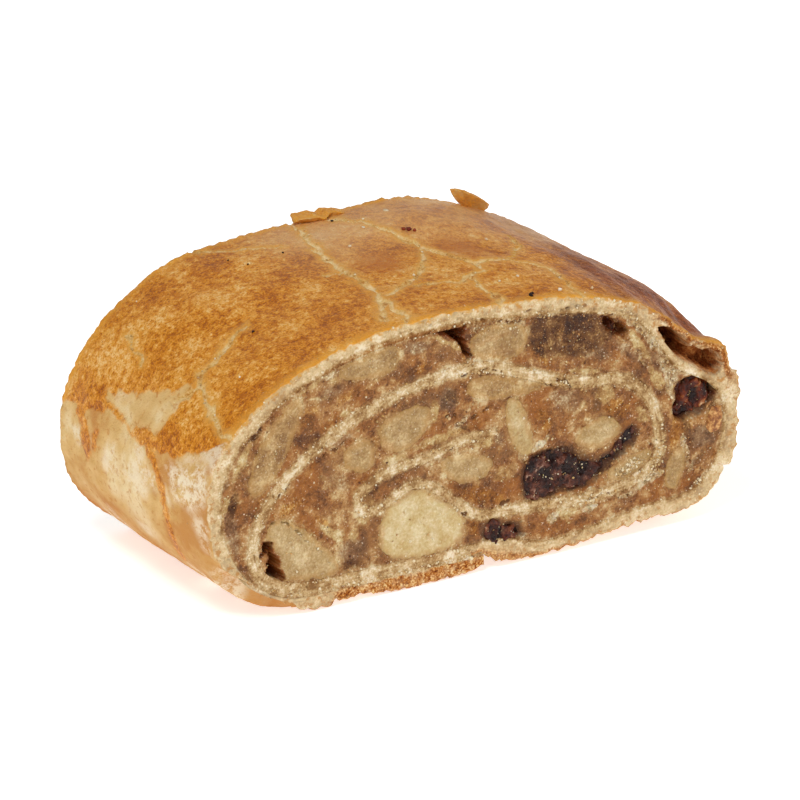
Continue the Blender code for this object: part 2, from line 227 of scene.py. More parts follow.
# Cracks in the glaze: half a crack's width, then places as distance along the sheet from the
# seam and along the roll from its middle.
GLAZE_CRACKS = (
    (0.50, ((125.5, 25.2), (123.5, 17.0), (121.8, 9.0), (121.0, -0.5), (120.8, -10.0), (120.0, -14.5),
            (116.0, -21.5))),
    (0.42, ((120.0, -14.5), (119.5, -19.0), (119.8, -22.5), (118.8, -25.0))),
    (0.25, ((120.0, -1.0), (117.0, 0.0))),
    (0.48, ((129.2, 25.2), (131.8, 21.0), (134.2, 16.5), (135.8, 13.0), (136.8, 9.0), (138.0, 5.0),
            (139.0, 2.0), (141.2, -3.5), (143.0, -7.0), (143.0, -10.5))),
    (0.40, ((137.8, 2.0), (135.2, -3.0), (131.0, -8.5), (125.8, -11.5), (122.0, -13.5))),
    (0.42, ((143.0, -7.0), (148.5, -6.5), (152.8, -8.0), (155.5, -11.0), (155.0, -16.0), (154.2, -19.5),
            (155.0, -25.0))),
    (0.34, ((138.5, -12.0), (135.8, -14.5), (132.2, -13.0), (127.8, -12.0))),
    (0.38, ((143.0, -10.5), (138.5, -12.0), (138.8, -14.0), (138.0, -18.5), (138.5, -23.0),
            (137.0, -25.0))),
    (0.30, ((158.5, 6.5), (156.5, 0.0), (150.8, -6.5))),
    (0.42, ((98.5, -5.0), (95.2, -5.5), (92.8, -7.0), (90.0, -8.0), (87.0, -7.5), (85.2, -10.5),
            (83.5, -14.5), (81.5, -19.0), (80.2, -25.0))),
    (0.30, ((85.0, -10.0), (83.2, -8.5), (80.2, -6.0))),
    (0.28, ((86.0, 16.0), (85.0, 11.5), (83.5, 7.0))),
    (0.36, ((105.5, 25.0), (108.0, 22.0), (110.8, 19.5), (117.5, 15.0))),
)
# The lowest glaze on the left and on the right, at places along the roll.
GLAZE_LEFT = ((-25, 79.5), (-20, 76.8), (-14, 73.6), (-8, 72.5), (0, 73.0), (8, 74.0), (13, 73.5),
              (18, 71.5), (25, 71.0))
GLAZE_RIGHT = ((-25, 190), (-20, 194), (-12, 200), (-3, 198), (8, 203), (17, 199), (25, 201))
# Glaze that ran down: half its width, then its run.
DRIPS = (
    (0.85, ((73.5, -4.5), (70.5, -9.0), (66.2, -11.0), (61.2, -12.0), (54.8, -11.5))),
    (1.3, ((72.0, 18.5), (69.0, 15.5), (65.5, 14.5))),
    (0.7, ((70.0, 11.5), (67.5, 12.0))),
    (0.9, ((199.0, 6.0), (206.0, 5.0))),
    (1.2, ((198.0, 19.0), (204.0, 18.0))),
)
BARE_PATCH = ((76.5, 13.0), (79.8, 1.0), (84.5, -9.5), (81.0, -9.0), (78.0, -8.0), (75.2, -7.0),
              (73.8, 1.5), (75.5, 11.0))
FLOUR_PATCH = ((71.5, -12.0), (75.0, -23.5), (70.0, -25.0), (66.0, -21.0), (66.8, -15.0))

GRADIENTS = np.random.default_rng(11).normal(size=(256, 3))
GRADIENTS /= np.linalg.norm(GRADIENTS, axis=1)[:, None]


def ease(t):
    """A smooth step from 0 to 1."""
    t = np.clip(t, 0.0, 1.0)
    return t * t * (3 - 2 * t)


def noise(points, size, seed, octaves=1):
    """Smooth random bumps from about -1 to 1, one every size millimetres or so."""
    total, share = np.zeros(len(points)), 1.0
    for octave in range(octaves):
        spot = points / (size / 2 ** octave)
        cell = np.floor(spot).astype(np.int64)
        part = spot - cell
        fade = part ** 3 * (part * (part * 6 - 15) + 10)
        for corner in ((i, j, k) for i in (0, 1) for j in (0, 1) for k in (0, 1)):
            x, y, z = (cell + corner).T
            mixed = (x * 73856093) ^ (y * 19349663) ^ (z * 83492791) ^ ((seed + octave) * 2971215)
            mixed = ((mixed ^ (mixed >> 13)) * 1274126177) & 0xFFFFFFFF
            slope = GRADIENTS[(mixed ^ (mixed >> 16)) & 255]
            weight = np.prod(np.where(corner, fade, 1 - fade), axis=1)
            total += share * weight * ((part - corner) * slope).sum(axis=1)
        share *= 0.5
    return total * 1.6


def bend(start, end):
    """Points from one level or upright spot of the sheet to the next, without the first."""
    (x0, z0, way0, _), (x1, z1, way1, fullness) = start, end
    t = np.arange(1, BEND_STEPS + 1) / BEND_STEPS
    if way0 == way1:
        return np.stack([x0 + (x1 - x0) * t, z0 + (z1 - z0) * ease(t)], 1)
    near = np.cos(t * math.pi / 2).clip(0) ** (2 / fullness)
    far = np.sin(t * math.pi / 2) ** (2 / fullness)
    if way0 in ("left", "right"):
        return np.stack([x0 + (x1 - x0) * far, z1 + (z0 - z1) * near], 1)
    return np.stack([x1 + (x0 - x1) * near, z0 + (z1 - z0) * far], 1)


def even_line(points, step):
    """Points at even steps along a line, and how far along each lies."""
    total = np.r_[0, np.cumsum(np.hypot(*np.diff(points, axis=0).T))]
    along = np.arange(0, total[-1], step)
    return np.stack([np.interp(along, total, points[:, k]) for k in (0, 1)], 1), along


LINE, ALONG = even_line(np.vstack([[ROLL[0][:2]]] + [bend(*pair) for pair in zip(ROLL, ROLL[1:])]),
                        LINE_STEP)
window = np.hanning(2 * LINE_SMOOTHING + 3)[1:-1]
padded = np.pad(LINE, ((LINE_SMOOTHING, LINE_SMOOTHING), (0, 0)), mode="edge")
LINE = np.stack([np.convolve(padded[:, k], window / window.sum(), "valid") for k in (0, 1)], 1)
INWARD = np.gradient(LINE, axis=0)[:, ::-1] * (1, -1)
INWARD /= np.linalg.norm(INWARD, axis=1)[:, None]


def along_at(x, z):
    """How far along the sheet the place nearest to x, z lies."""
    return ALONG[np.hypot(LINE[:, 0] - x, LINE[:, 1] - z).argmin()]


SHEET_LENGTH = ALONG[-1]
SEAM_COVERED_AT = along_at(*ROLL[SEAM_COVERED][:2])
CORE_STARTS_AT = along_at(*ROLL[CORE_START][:2])
HEEL_MIDDLE = along_at(*HEEL_AT)
BLISTER_MIDDLE = along_at(*BLISTER_AT)


def half_thickness(s):
    """Half the sheet's thickness: the baked crust is the thickest, the core the thinnest."""
    thick = CRUST + (INNER_TURN - CRUST) * ease((s - SEAM_COVERED_AT + 10.0) / 10.0)
    thick = thick + (CORE_TURN - INNER_TURN) * ease((s - CORE_STARTS_AT) / 20.0)
    return (thick - 0.7 * ease((s - SHEET_LENGTH + 6.0) / 6.0)) / 2


def outside(s):
    """How far the sheet's outer side lies from its middle line."""
    return half_thickness(s) + HEEL_EXTRA * (1 - ease(abs(s - HEEL_MIDDLE) / HEEL_REACH))


def inside(s, y):
    """How far the sheet's inner side lies from its middle line: the blister fades inwards."""
    fade = 1 - ease((y + CUT - BLISTER_FULL) / BLISTER_FADE)
    return half_thickness(s) + BLISTER_EXTRA * fade * (1 - ease(abs(s - BLISTER_MIDDLE) / BLISTER_REACH))


CRUST_EDGE = LINE[:, 0] - INWARD[:, 0] * outside(ALONG)
MIDDLE = (CRUST_EDGE.min() + CRUST_EDGE.max()) / 2


def on_sheet(s, depth):
    """The x and z of places on the sheet, depth millimetres inwards from its middle line."""
    spot = [np.interp(s, ALONG, LINE[:, k]) + np.interp(s, ALONG, INWARD[:, k]) * depth for k in (0, 1)]
    return spot[0] - MIDDLE, spot[1]


def swollen(points):
    """Places on the finished roll, which is a little fuller halfway along."""
    middle = 1 - (points[:, 1] / CUT) ** 2
    return points * np.stack([1 + SWELL_WIDTH * middle, np.ones(len(points)), 1 + SWELL_HEIGHT * middle], 1)


def to_line(points, line):
    """How far each place is from a line through a few places."""
    nearest = np.full(len(points), np.inf)
    for start, end in zip(line, line[1:]):
        start, run = np.array(start), np.subtract(end, start)
        t = np.clip(((points - start) @ run) / max(run @ run, 1e-9), 0, 1)
        nearest = np.minimum(nearest, np.hypot(*(points - start - t[:, None] * run).T))
    return nearest


def to_outline(points, outline):
    """How far each place is from a closed outline: negative inside it."""
    closed = list(outline) + [outline[0]]
    inner = np.zeros(len(points), bool)
    for (x0, z0), (x1, z1) in zip(closed, closed[1:]):
        if z0 != z1:
            crosses = (z0 > points[:, 1]) != (z1 > points[:, 1])
            inner ^= crosses & (points[:, 0] < (x1 - x0) * (points[:, 1] - z0) / (z1 - z0) + x0)
    return np.where(inner, -1, 1) * to_line(points, closed)


def flat(x, z):
    """Places on a cut, as points that noise can take."""
    return np.stack([x, np.zeros(len(x)), z], 1)


# Cracks in the front cut, in the dough and the filling alike: half the width, how deep they
# go, and where they run.
CUT_CRACKS = (
    (0.22, 0.7, ((-34.2, 26.3), (-33.0, 27.2), (-31.5, 28.3), (-29.5, 29.0), (-28.0, 29.2), (-26.5, 30.3))),
    (0.20, 0.6, ((-31.4, 29.7), (-30.0, 30.7), (-28.5, 30.3))),
    (0.24, 0.7, ((-33.2, 28.4), (-32.2, 27.5))),
    (0.26, 0.6, ((-40.2, 22.6), (-39.2, 22.9))),
    (0.20, 0.6, ((-38.3, 24.0), (-37.3, 25.0))),
    (0.24, 1.0, ((-41.4, 18.2), (-40.0, 18.1), (-38.5, 17.6), (-37.2, 16.6), (-35.8, 15.2), (-34.6, 13.8))),
    (0.16, 0.4, ((-34.6, 13.8), (-31.6, 11.2), (-29.4, 8.2))),
    (0.18, 0.4, ((-5.0, 24.1), (-3.8, 24.6))),
    (0.14, 0.4, ((-0.8, 23.4), (0.0, 24.2), (1.6, 24.5))),
    (0.34, 0.8, ((5.2, 11.8), (6.4, 11.7), (7.4, 12.3))),
    (0.30, 0.7, ((-2.8, 11.7), (-1.8, 11.5))),
    (0.22, 0.6, ((0.2, 10.0), (1.5, 10.2))),
    (0.14, 0.4, ((32.4, 26.6), (34.4, 24.2), (35.6, 22.4))),
    (0.16, 0.5, ((36.0, 15.8), (37.2, 16.9), (38.8, 16.6))),
    (0.14, 0.4, ((36.6, 16.0), (38.0, 15.2))),
    (0.18, 0.6, ((28.8, 13.3), (30.5, 12.2), (31.6, 12.0), (32.6, 11.0), (34.5, 11.5), (36.0, 11.2))),
    (0.16, 0.4, ((22.0, 9.0), (24.0, 8.7), (26.2, 9.2), (29.0, 8.9), (31.2, 8.8))),
    (0.50, 0.9, ((-3.2, 36.5), (-2.2, 37.1), (-0.8, 37.3))),
    (0.18, 0.6, ((0.4, 37.1), (2.2, 37.5), (4.0, 37.2), (5.8, 36.4))),
    (0.18, 0.4, ((-7.4, 36.2), (-6.6, 36.6))),
    (0.32, 0.9, ((-5.8, 30.4), (-4.0, 30.4), (-3.2, 29.5), (-2.5, 28.6))),
    (0.24, 0.7, ((-1.2, 30.2), (-0.1, 29.5), (0.2, 28.9))),
    (0.22, 0.6, ((1.8, 29.9), (2.8, 30.2), (3.5, 30.5))),
    (0.26, 0.8, ((15.5, 31.8), (17.2, 31.1))),
    (0.22, 0.8, ((15.8, 32.6), (18.4, 32.2), (19.4, 31.3), (19.7, 30.6))),
    (0.16, 0.4, ((12.6, 33.5), (14.5, 32.4), (15.4, 31.8))),
    (0.20, 0.6, ((27.8, 28.9), (29.0, 28.4))),
    (0.34, 0.9, ((-2.2, 46.8), (-0.4, 47.2), (1.2, 47.1), (2.6, 46.5))),
    (0.24, 0.7, ((2.6, 46.5), (4.4, 45.9), (6.0, 45.6), (8.0, 45.3), (9.8, 45.4), (12.4, 44.6))),
    (0.18, 0.5, ((-12.4, 46.3), (-10.4, 46.6), (-8.4, 46.9))),
    (0.20, 0.5, ((10.2, 46.6), (12.0, 46.9))),
    (0.18, 0.5, ((14.5, 46.5), (16.2, 46.9))),
    (0.28, 0.9, ((17.8, 45.5), (20.2, 45.7), (22.6, 45.2))),
    (0.22, 0.6, ((24.4, 44.2), (26.2, 43.2), (28.0, 42.4))),
    (0.12, 0.3, ((33.0, 39.6), (35.4, 36.6), (37.2, 34.4))),
    (0.12, 0.3, ((32.0, 36.4), (34.4, 33.8))),
    (0.14, 0.4, ((38.4, 30.6), (40.2, 28.2), (41.6, 26.2))),
    (0.16, 0.5, ((44.4, 11.6), (46.0, 10.2), (47.4, 9.2))),
)
# What lies where in the front cut: the kind, the place, half its length and width, its tilt in
# degrees, and how strong it is.
# The dark and red kinds are partly wet dark syrup and partly painted shade over gaps and hollows.
ZONES = (
    # along the left of the outer turn
    ("dark", -48.7, 23.2, 2.4, 0.9, 80, 0.9), ("pale", -50.3, 23.4, 1.7, 1.0, 70, 1.0),
    ("dark", -44.4, 35.2, 2.1, 0.6, 36, 1.2), ("pale", -46.9, 31.0, 4.6, 1.0, 62, 0.8),
    ("dark", -50.6, 26.6, 2.0, 0.5, 62, 0.6), ("grey", -49.0, 17.6, 5.6, 1.4, 104, 0.6),
    ("dark", -46.0, 9.6, 2.4, 0.7, 120, 0.4), ("pale", -42.6, 31.4, 6.4, 1.9, 68, 0.6),
    ("amber", -43.2, 23.5, 1.5, 0.6, 45, 1.0), ("pale", -33.4, 41.7, 2.4, 0.6, 20, 0.9),
    ("amber", -34.6, 36.4, 4.0, 1.8, 30, 0.5), ("amber", -29.0, 33.4, 3.0, 1.0, 30, 0.5),
    ("grey", -29.0, 39.8, 3.4, 1.4, 14, 0.5), ("crumbly", -29.2, 43.0, 2.4, 0.8, 12, 0.8),
    ("pale", -31.2, 39.2, 2.4, 0.4, -12, 0.7), ("pale", -26.4, 35.3, 1.2, 0.6, 20, 0.9),
    ("pale", -28.4, 42.0, 0.9, 1.6, 0, 0.6), ("crumbly", -30.6, 46.2, 2.8, 0.5, 22, 0.6),
    # under the top crust, on the left
    ("grey", -12.0, 44.6, 3.2, 1.4, 0, 0.7), ("amber", -11.4, 40.4, 3.0, 0.9, 6, 0.8),
    ("pale", -20.0, 43.6, 5.6, 2.6, 6, 0.35), ("pale", -6.0, 44.4, 3.6, 0.4, -32, 0.9),
    ("pale", -3.2, 42.6, 2.4, 0.4, -60, 0.9), ("amber", -25.6, 38.6, 2.8, 1.0, 24, 0.5),
    ("crumbly", 1.4, 45.3, 2.2, 0.7, -16, 1.2), ("amber", -1.2, 41.8, 0.7, 1.9, -62, 1.2),
    ("crumbly", 6.4, 44.9, 1.0, 0.5, -8, 1.0), ("crumbly", 9.2, 44.7, 1.0, 0.6, 0, 1.0),
    ("crumbly", 15.0, 45.7, 3.4, 0.8, -4, 1.1), ("amber", 3.4, 43.0, 4.4, 0.5, 6, 0.9),
    ("pale", 2.0, 42.2, 2.6, 0.7, 10, 1.0), ("amber", 4.6, 40.4, 4.0, 1.0, -8, 0.7),
    ("pale", 9.6, 43.2, 3.2, 0.6, 8, 0.8), ("pale", 4.0, 38.9, 4.4, 0.4, -8, 0.6),
    # the wet dark lens
    ("dark", 19.6, 40.8, 9.4, 4.6, -12, 1.1), ("red", 20.4, 44.8, 4.4, 0.7, -3, 0.9),
    ("red", 28.4, 40.4, 3.4, 0.9, -46, 0.8), ("grey", 20.6, 40.2, 3.6, 1.8, -18, 0.8),
    ("dark", 13.2, 40.0, 3.2, 1.2, -58, 1.1), ("dark", 28.6, 40.2, 2.6, 1.3, -30, 1.3),
    ("grey", 24.0, 36.6, 5.4, 1.6, -26, 0.6), ("amber", 15.8, 42.4, 2.2, 0.7, 24, 0.7),
    ("amber", 14.0, 37.0, 3.0, 0.8, -50, 0.7), ("pale", 27.4, 41.4, 0.7, 0.6, 0, 0.8),
    ("amber", 17.4, 33.4, 5.0, 0.6, -20, 1.0), ("pale", 22.8, 33.0, 4.0, 0.6, -10, 0.8),
    # the crumbly band inside the right shoulder, and the deep wet hollow under it
    ("crumbly", 33.0, 40.0, 5.0, 1.0, -48, 1.1), ("crumbly", 36.6, 36.0, 6.4, 1.2, -54, 1.1),
    ("crumbly", 39.6, 30.4, 4.6, 1.2, -58, 1.0), ("pale", 33.8, 35.6, 4.6, 0.8, -52, 0.9),
    ("grey", 31.2, 35.0, 5.0, 1.0, -44, 0.5), ("crumbly", 34.6, 32.6, 3.0, 0.6, -54, 0.7),
    ("pale", 37.4, 28.6, 3.6, 1.0, -62, 0.9), ("crumbly", 42.0, 29.6, 2.2, 1.2, -30, 1.0),
    ("crumbly", 40.4, 25.4, 3.6, 0.8, -74, 0.9), ("grey", 37.6, 31.4, 4.0, 0.8, -56, 0.5),
    ("red", 45.4, 24.2, 4.0, 2.7, -24, 1.3), ("red", 42.8, 21.6, 1.6, 2.0, 30, 1.2),
    ("red", 48.6, 24.4, 2.4, 2.0, -40, 1.2), ("dark", 49.4, 20.0, 1.2, 3.0, 8, 0.7),
    ("grey", 46.8, 15.6, 2.8, 2.2, -30, 0.8), ("amber", 41.5, 17.8, 4.8, 0.8, 82, 1.2),
    ("amber", 43.6, 18.2, 1.4, 1.8, 0, 0.6), ("dark", 44.2, 16.6, 1.0, 3.0, 14, 0.6),
    ("amber", 50.2, 11.6, 1.4, 1.0, 10, 1.2), ("crumbly", 43.6, 13.6, 3.4, 0.6, -80, 0.9),
    ("pale", 41.4, 11.6, 3.4, 1.4, 84, 0.7), ("crumbly", 44.8, 10.2, 2.0, 0.7, 40, 0.7),
    ("dark", 46.6, 11.6, 2.4, 0.7, 42, 0.5), ("crumbly", 46.8, 7.2, 3.6, 0.9, 32, 0.9),
    ("amber", 48.6, 7.0, 0.9, 0.7, 0, 0.8), ("grey", 49.0, 15.0, 2.2, 1.0, -70, 0.5),
    # right of the core
    ("crumbly", 35.6, 9.8, 3.4, 0.9, 20, 1.2), ("crumbly", 31.6, 7.9, 1.8, 0.6, -6, 1.2),
    ("crumbly", 31.4, 13.2, 4.4, 1.3, 14, 0.9), ("crumbly", 37.6, 13.4, 2.4, 1.6, 60, 0.9),
    ("crumbly", 23.4, 9.8, 2.0, 1.2, 16, 1.4), ("pale", 19.2, 8.0, 2.4, 1.7, 10, 1.1),
    ("crumbly", 24.0, 7.2, 1.6, 0.7, 12, 1.3), ("crumbly", 16.0, 6.8, 1.3, 1.1, -40, 1.2),
    ("amber", 29.2, 9.4, 3.6, 0.5, -2, 1.0), ("amber", 20.6, 9.8, 1.0, 0.5, 0, 0.8),
    ("crumbly", 16.4, 9.9, 3.4, 0.6, 4, 0.6), ("dark", 27.4, 14.4, 3.0, 0.7, 38, 1.1),
    ("crumbly", 13.6, 21.2, 2.6, 0.7, 24, 1.2), ("crumbly", 10.0, 19.4, 1.4, 0.9, -50, 1.2),
    ("dark", 17.0, 18.6, 6.0, 1.6, -8, 1.0), ("dark", 16.2, 14.2, 1.4, 4.0, 0, 1.2),
    ("dark", 18.0, 12.0, 6.4, 0.8, -2, 0.9), ("amber", 29.4, 24.6, 2.8, 1.7, -20, 1.1),
    ("pale", 26.8, 27.8, 2.6, 1.7, -50, 1.0), ("pale", 26.6, 30.2, 1.0, 0.8, 0, 0.9),
    ("pale", 22.0, 26.4, 1.6, 0.8, 30, 0.4), ("grey", 18.6, 28.6, 4.0, 2.4, -30, 0.5),
    ("amber", 14.6, 25.4, 1.6, 2.6, 20, 0.7), ("pale", 34.4, 22.6, 1.0, 2.4, 24, 0.7),
    ("amber", 21.6, 16.8, 2.4, 0.6, -16, 0.8), ("dark", 32.4, 18.4, 1.6, 1.4, 60, 1.1),
    # the core
    ("pale", 8.4, 29.4, 2.2, 1.2, -76, 1.0), ("grey", 4.8, 24.6, 2.6, 0.9, -64, 0.6),
    ("amber", 0.6, 14.6, 5.4, 1.6, -20, 0.9), ("pale", 6.6, 17.4, 3.0, 1.6, 0, 0.5),
    ("amber", -2.4, 27.0, 3.0, 0.8, 6, 0.4), ("pale", -7.0, 26.7, 6.4, 0.9, 8, 0.9),
    ("pale", -17.0, 24.5, 4.6, 1.3, 18, 0.6), ("amber", -17.6, 27.2, 1.6, 1.0, 0, 0.8),
    ("dark", -14.2, 21.9, 5.4, 0.5, 14, 0.5), ("dark", -20.4, 19.8, 2.2, 0.4, 30, 0.5),
    ("dark", -6.6, 22.8, 3.2, 0.5, -12, 0.6), ("amber", -15.6, 18.3, 1.6, 0.5, 0, 1.1),
    ("pale", -8.2, 32.0, 0.9, 2.4, 0, 0.7), ("grey", -5.4, 33.6, 2.4, 2.0, -60, 0.8),
    ("pale", 1.4, 24.4, 2.6, 1.4, -6, 1.2), ("amber", 3.6, 13.0, 3.4, 0.6, -12, 0.8),
    ("crumbly", -2.6, 28.8, 1.8, 0.6, 30, 0.7), ("dark", -2.6, 28.0, 1.8, 0.5, -40, 0.6),
    ("crumbly", 9.6, 4.4, 1.4, 0.7, 30, 0.9), ("amber", 0.2, 8.6, 2.0, 2.0, -20, 0.6),
    ("pale", -22.6, 17.0, 1.9, 2.8, 8, 1.3), ("pale", -24.0, 20.6, 1.6, 0.8, 40, 0.6),
    # round the left of the core
    ("pale", -29.0, 13.6, 3.2, 0.9, -38, 1.1), ("grey", -24.6, 9.4, 3.4, 2.6, 0, 0.6),
    ("dark", -25.2, 7.0, 2.4, 1.2, 0, 0.6), ("amber", -37.0, 20.4, 3.2, 1.2, 24, 0.9),
    ("pale", -24.6, 12.4, 1.0, 1.6, 0, 0.6), ("grey", -27.6, 23.0, 3.0, 1.6, -40, 0.4),
    ("amber", -31.0, 16.4, 2.2, 0.8, -40, 0.6), ("pale", -17.4, 30.0, 1.4, 1.6, 0, 0.5),
    ("grey", -27.0, 30.4, 3.0, 1.0, 24, 0.5), ("amber", -20.6, 28.8, 1.2, 2.4, 10, 0.6),
    ("pale", -31.0, 24.4, 1.0, 0.7, 0, 0.4), ("pale", 11.4, 33.6, 4.0, 1.2, -24, 0.9),
)
KINDS = ("pale", "grey", "amber", "crumbly", "dark", "red")
# How much wider each piece of fruit at the front looks than its solid, as sauce and pulp
# cling to it; the rest spread a little.
SPREAD = {"apple_front_01": 0.6, "nut_front_01": 0.1}
USUAL_SPREAD = 0.25
# How deep behind a cut its colours are worked out, and what counts as far from everything.
CUT_SKIN, FAR = 6.0, 6.0


def cut_outline(node, cut):
    """The outline in millimetres where a CAD piece of fruit meets one of the two cuts."""
    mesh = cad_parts[node].data
    uses = {}
    for polygon in mesh.polygons:
        spots = [tuple(round(c / MM, 3) for c in mesh.vertices[v].co) for v in polygon.vertices]
        if all(abs(spot[1] - cut) < 0.02 for spot in spots):
            for start, end in zip(spots, spots[1:] + spots[:1]):
                uses[(start[0], start[2]), (end[0], end[2])] = True
    rim = {start: end for start, end in uses if (end, start) not in uses}
    outline = [next(iter(rim))]
    while rim[outline[-1]] != outline[0]:
        outline.append(rim[outline[-1]])
    return np.array([np.array(a) * p + np.array(b) * (1 - p)
                     for a, b in zip(outline, outline[1:] + outline[:1]) for p in (0.75, 0.25)])


fruit_nodes = sorted(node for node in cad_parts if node.split("_")[0] in ("apple", "raisin", "nut"))
OUTLINES = {node: cut_outline(node, -CUT if "front" in node else CUT) for node in fruit_nodes}

# The torn edges the raisins show at the front cut, some running into each other.  They differ a
# little from the CAD's raisins.
OUTLINES.update({node: np.array(outline) for node, outline in {
    "raisin_front_01": ((9.9, 15.4), (10.5, 17.0), (11.9, 18.5), (13.5, 19.1), (15.4, 19.2), (17.4, 18.8),
                        (18.6, 17.6), (19.2, 15.6), (18.4, 13.4), (16.6, 12.4), (15.0, 11.6), (13.4, 10.7),
                        (12.0, 10.7), (10.9, 12.1), (10.1, 13.8)),
    "raisin_front_02": ((16.4, 17.8), (18.2, 18.5), (20.2, 17.6), (21.8, 16.6), (23.6, 15.8), (25.4, 15.5),
                        (26.4, 14.4), (25.2, 13.1), (23.4, 12.0), (21.6, 11.6), (19.8, 11.9), (18.0, 12.7),
                        (16.6, 14.4)),
    "raisin_front_03": ((25.4, 15.0), (27.2, 16.0), (28.8, 17.2), (30.2, 18.8), (31.2, 20.0), (32.5, 20.2),
                        (33.0, 19.2), (32.2, 17.8), (30.8, 16.8), (29.0, 15.8), (27.2, 14.6), (25.8, 14.0)),
    "raisin_front_04": ((1.9, 7.0), (2.4, 8.2), (3.5, 8.9), (4.7, 8.5), (5.8, 7.7), (7.6, 7.2), (9.0, 6.8),
                        (9.4, 5.6), (8.6, 4.7), (6.9, 4.3), (5.0, 4.2), (3.4, 4.6), (2.4, 5.6)),
    "raisin_front_05": ((45.4, 27.6), (46.4, 26.8), (47.4, 25.2), (48.8, 25.2), (49.6, 24.0), (48.8, 22.6),
                        (47.8, 21.4), (45.0, 20.4), (43.2, 20.0), (42.1, 21.0), (41.8, 22.2), (42.7, 23.4),
                        (43.4, 25.4), (44.4, 26.4)),
}.items()})


def strayed(points, by, size, seed):
    """Places moved a little at random, so that what is drawn from them gets an uneven edge."""
    spots = flat(*points.T)
    return points + by * np.stack([noise(spots, size, seed, 2), noise(spots, size, seed + 1, 2)], 1)


def near_fruit(points, kind, front):
    """How far each place of a cut is from the nearest fruit of a kind: negative inside one."""
    points = strayed(points, 0.4, 1.6, 62)
    nearest = np.full(len(points), FAR)
    for node, outline in OUTLINES.items():
        if node.startswith(kind) and ("front" in node) == front:
            lowest, highest = outline.min(0) - 4, outline.max(0) + 4
            close = ((points > lowest) & (points < highest)).all(1)
            gap = to_outline(points[close], outline) - SPREAD.get(node, USUAL_SPREAD)
            nearest[close] = np.minimum(nearest[close], gap)
    return nearest


def zone(points, kind, front):
    """How much of one kind of filling there is at each place of a cut."""
    spots = strayed(points if front else points * (-1, 1) + (2.0, 0.6), 0.55, 1.8, 70)
    much = np.zeros(len(points))
    for name, x, z, half, width, tilt, strength in ZONES:
        if name == kind:
            turn = math.radians(tilt)
            dx, dz = spots[:, 0] - x, spots[:, 1] - z
            along = dx * math.cos(turn) + dz * math.sin(turn)
            aside = dz * math.cos(turn) - dx * math.sin(turn)
            away = np.hypot(along / half, aside / width)
            much = np.maximum(much, strength * (1 - ease((away - 0.5) / 0.8)))
    return much


def cracked(points, front):
    """How deep the cracks of a cut are, and how close to one each place is."""
    depth, close = np.zeros(len(points)), np.zeros(len(points))
    spots = points if front else points * (-1, 1) + (6.0, 1.2)
    spots = strayed(strayed(spots, 0.4, 1.3, 60), 0.25, 0.5, 56)
    whole = ease((noise(flat(*points.T), 1.3, 58) + 0.3) / 0.5)
    for half, deep, line in CUT_CRACKS:
        away = to_line(spots, line) / half
        depth = np.maximum(depth, deep * (1 - ease((away - 0.2) / 1.1)))
        close = np.maximum(close, 1 - ease((away - 0.4) / 1.4))
    return 0.6 * depth * whole, close * whole


def cut_measures(x, y, z):
    """What each place near a cut is beside and made of, for the colours of a cut."""
    found = {label: np.zeros(len(x)) for label in KINDS + ("crack",)}
    found.update({label: np.full(len(x), FAR) for label in ("apple", "raisin")})
    for front in (True, False):
        here = (y < CUT_SKIN - CUT) if front else (y > CUT - CUT_SKIN)
        points = np.stack([x[here], z[here]], 1)
        for kind in KINDS:
            found[kind][here] = zone(points, kind, front)
        for kind in ("apple", "raisin"):
            found[kind][here] = near_fruit(points, kind, front)
        found["crack"][here] = cracked(points, front)[1]
    return found


def grained(points, front):
    """The fine relief that runs on over dough, filling and fruit alike on a cut."""
    spots = flat(*points.T)
    seed = 20 if front else 40
    return 0.07 * noise(spots, 1.7, seed, 2) + 0.05 * noise(spots, 0.7, seed + 4)


def crumb(points, clear, front):
    """The relief of cut dough in millimetres below the cut: soft, with pores and cracks."""
    spots = flat(*points.T)
    seed = 24 if front else 44
    pores = ease((noise(spots, 0.9, seed) - 0.34) / 0.3) * ease((noise(spots, 3.4, seed + 1) + 0.1) / 0.4)
    heart = ease(-clear / 0.7)
    rough = 0.10 * noise(spots, 2.2, seed + 2, 2) + 0.08 * noise(spots, 0.8, seed + 4)
    return grained(points, front) + heart * (rough + 0.35 * pores - 0.05) + cracked(points, front)[0]


# What counts as well clear of any apple or of any crack in the glaze.
FAR_OFF = 9.0
ON_CUTS = []


def remember(points, ways, measures, here):
    """Keeps where a surface lies, which way it faces and what is there, for the crumbs on it."""
    usual = {"apple": FAR_OFF, "split": FAR_OFF}
    kept = {label: measures.get(label, np.full(len(points), usual.get(label, 0.0)))[here]
            for label in KINDS + ("apple", "sheet", "crack", "rim", "split")}
    ON_CUTS.append((points[here], ways[here], kept))


def facing(points):
    """Which way a cut faces at each place: to the front or to the back."""
    return np.stack([np.zeros(len(points)), np.sign(points[:, 1]), np.zeros(len(points))], 1)


def dress(tree, shader, colour, relief, strength, height):
    """Gives a material its colour and its fine relief."""
    tree.links.new(colour, shader.inputs["Base Color"])
    bump = add(tree, "Bump", {"Height": relief, "Strength": strength, "Distance": height})
    tree.links.new(bump.outputs[0], shader.inputs["Normal"])


def piece(name, points, faces, looks, nodes=(), measures=()):
    """Makes a smooth piece from places in millimetres, which rides on the strudel."""
    mesh = bpy.data.meshes.new(name)
    mesh.from_pydata((points * MM).tolist(), [], faces)
    for label, values in dict(measures).items():
        mesh.attributes.new(label, "FLOAT", "POINT").data.foreach_set("value", values.astype(np.float32))
    mesh.materials.append(looks)
    mesh.shade_smooth()
    made = bpy.data.objects.new(name, mesh)
    bpy.context.scene.collection.objects.link(made)
    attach(made, "root")
    if nodes:
        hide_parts(*nodes)
    return made


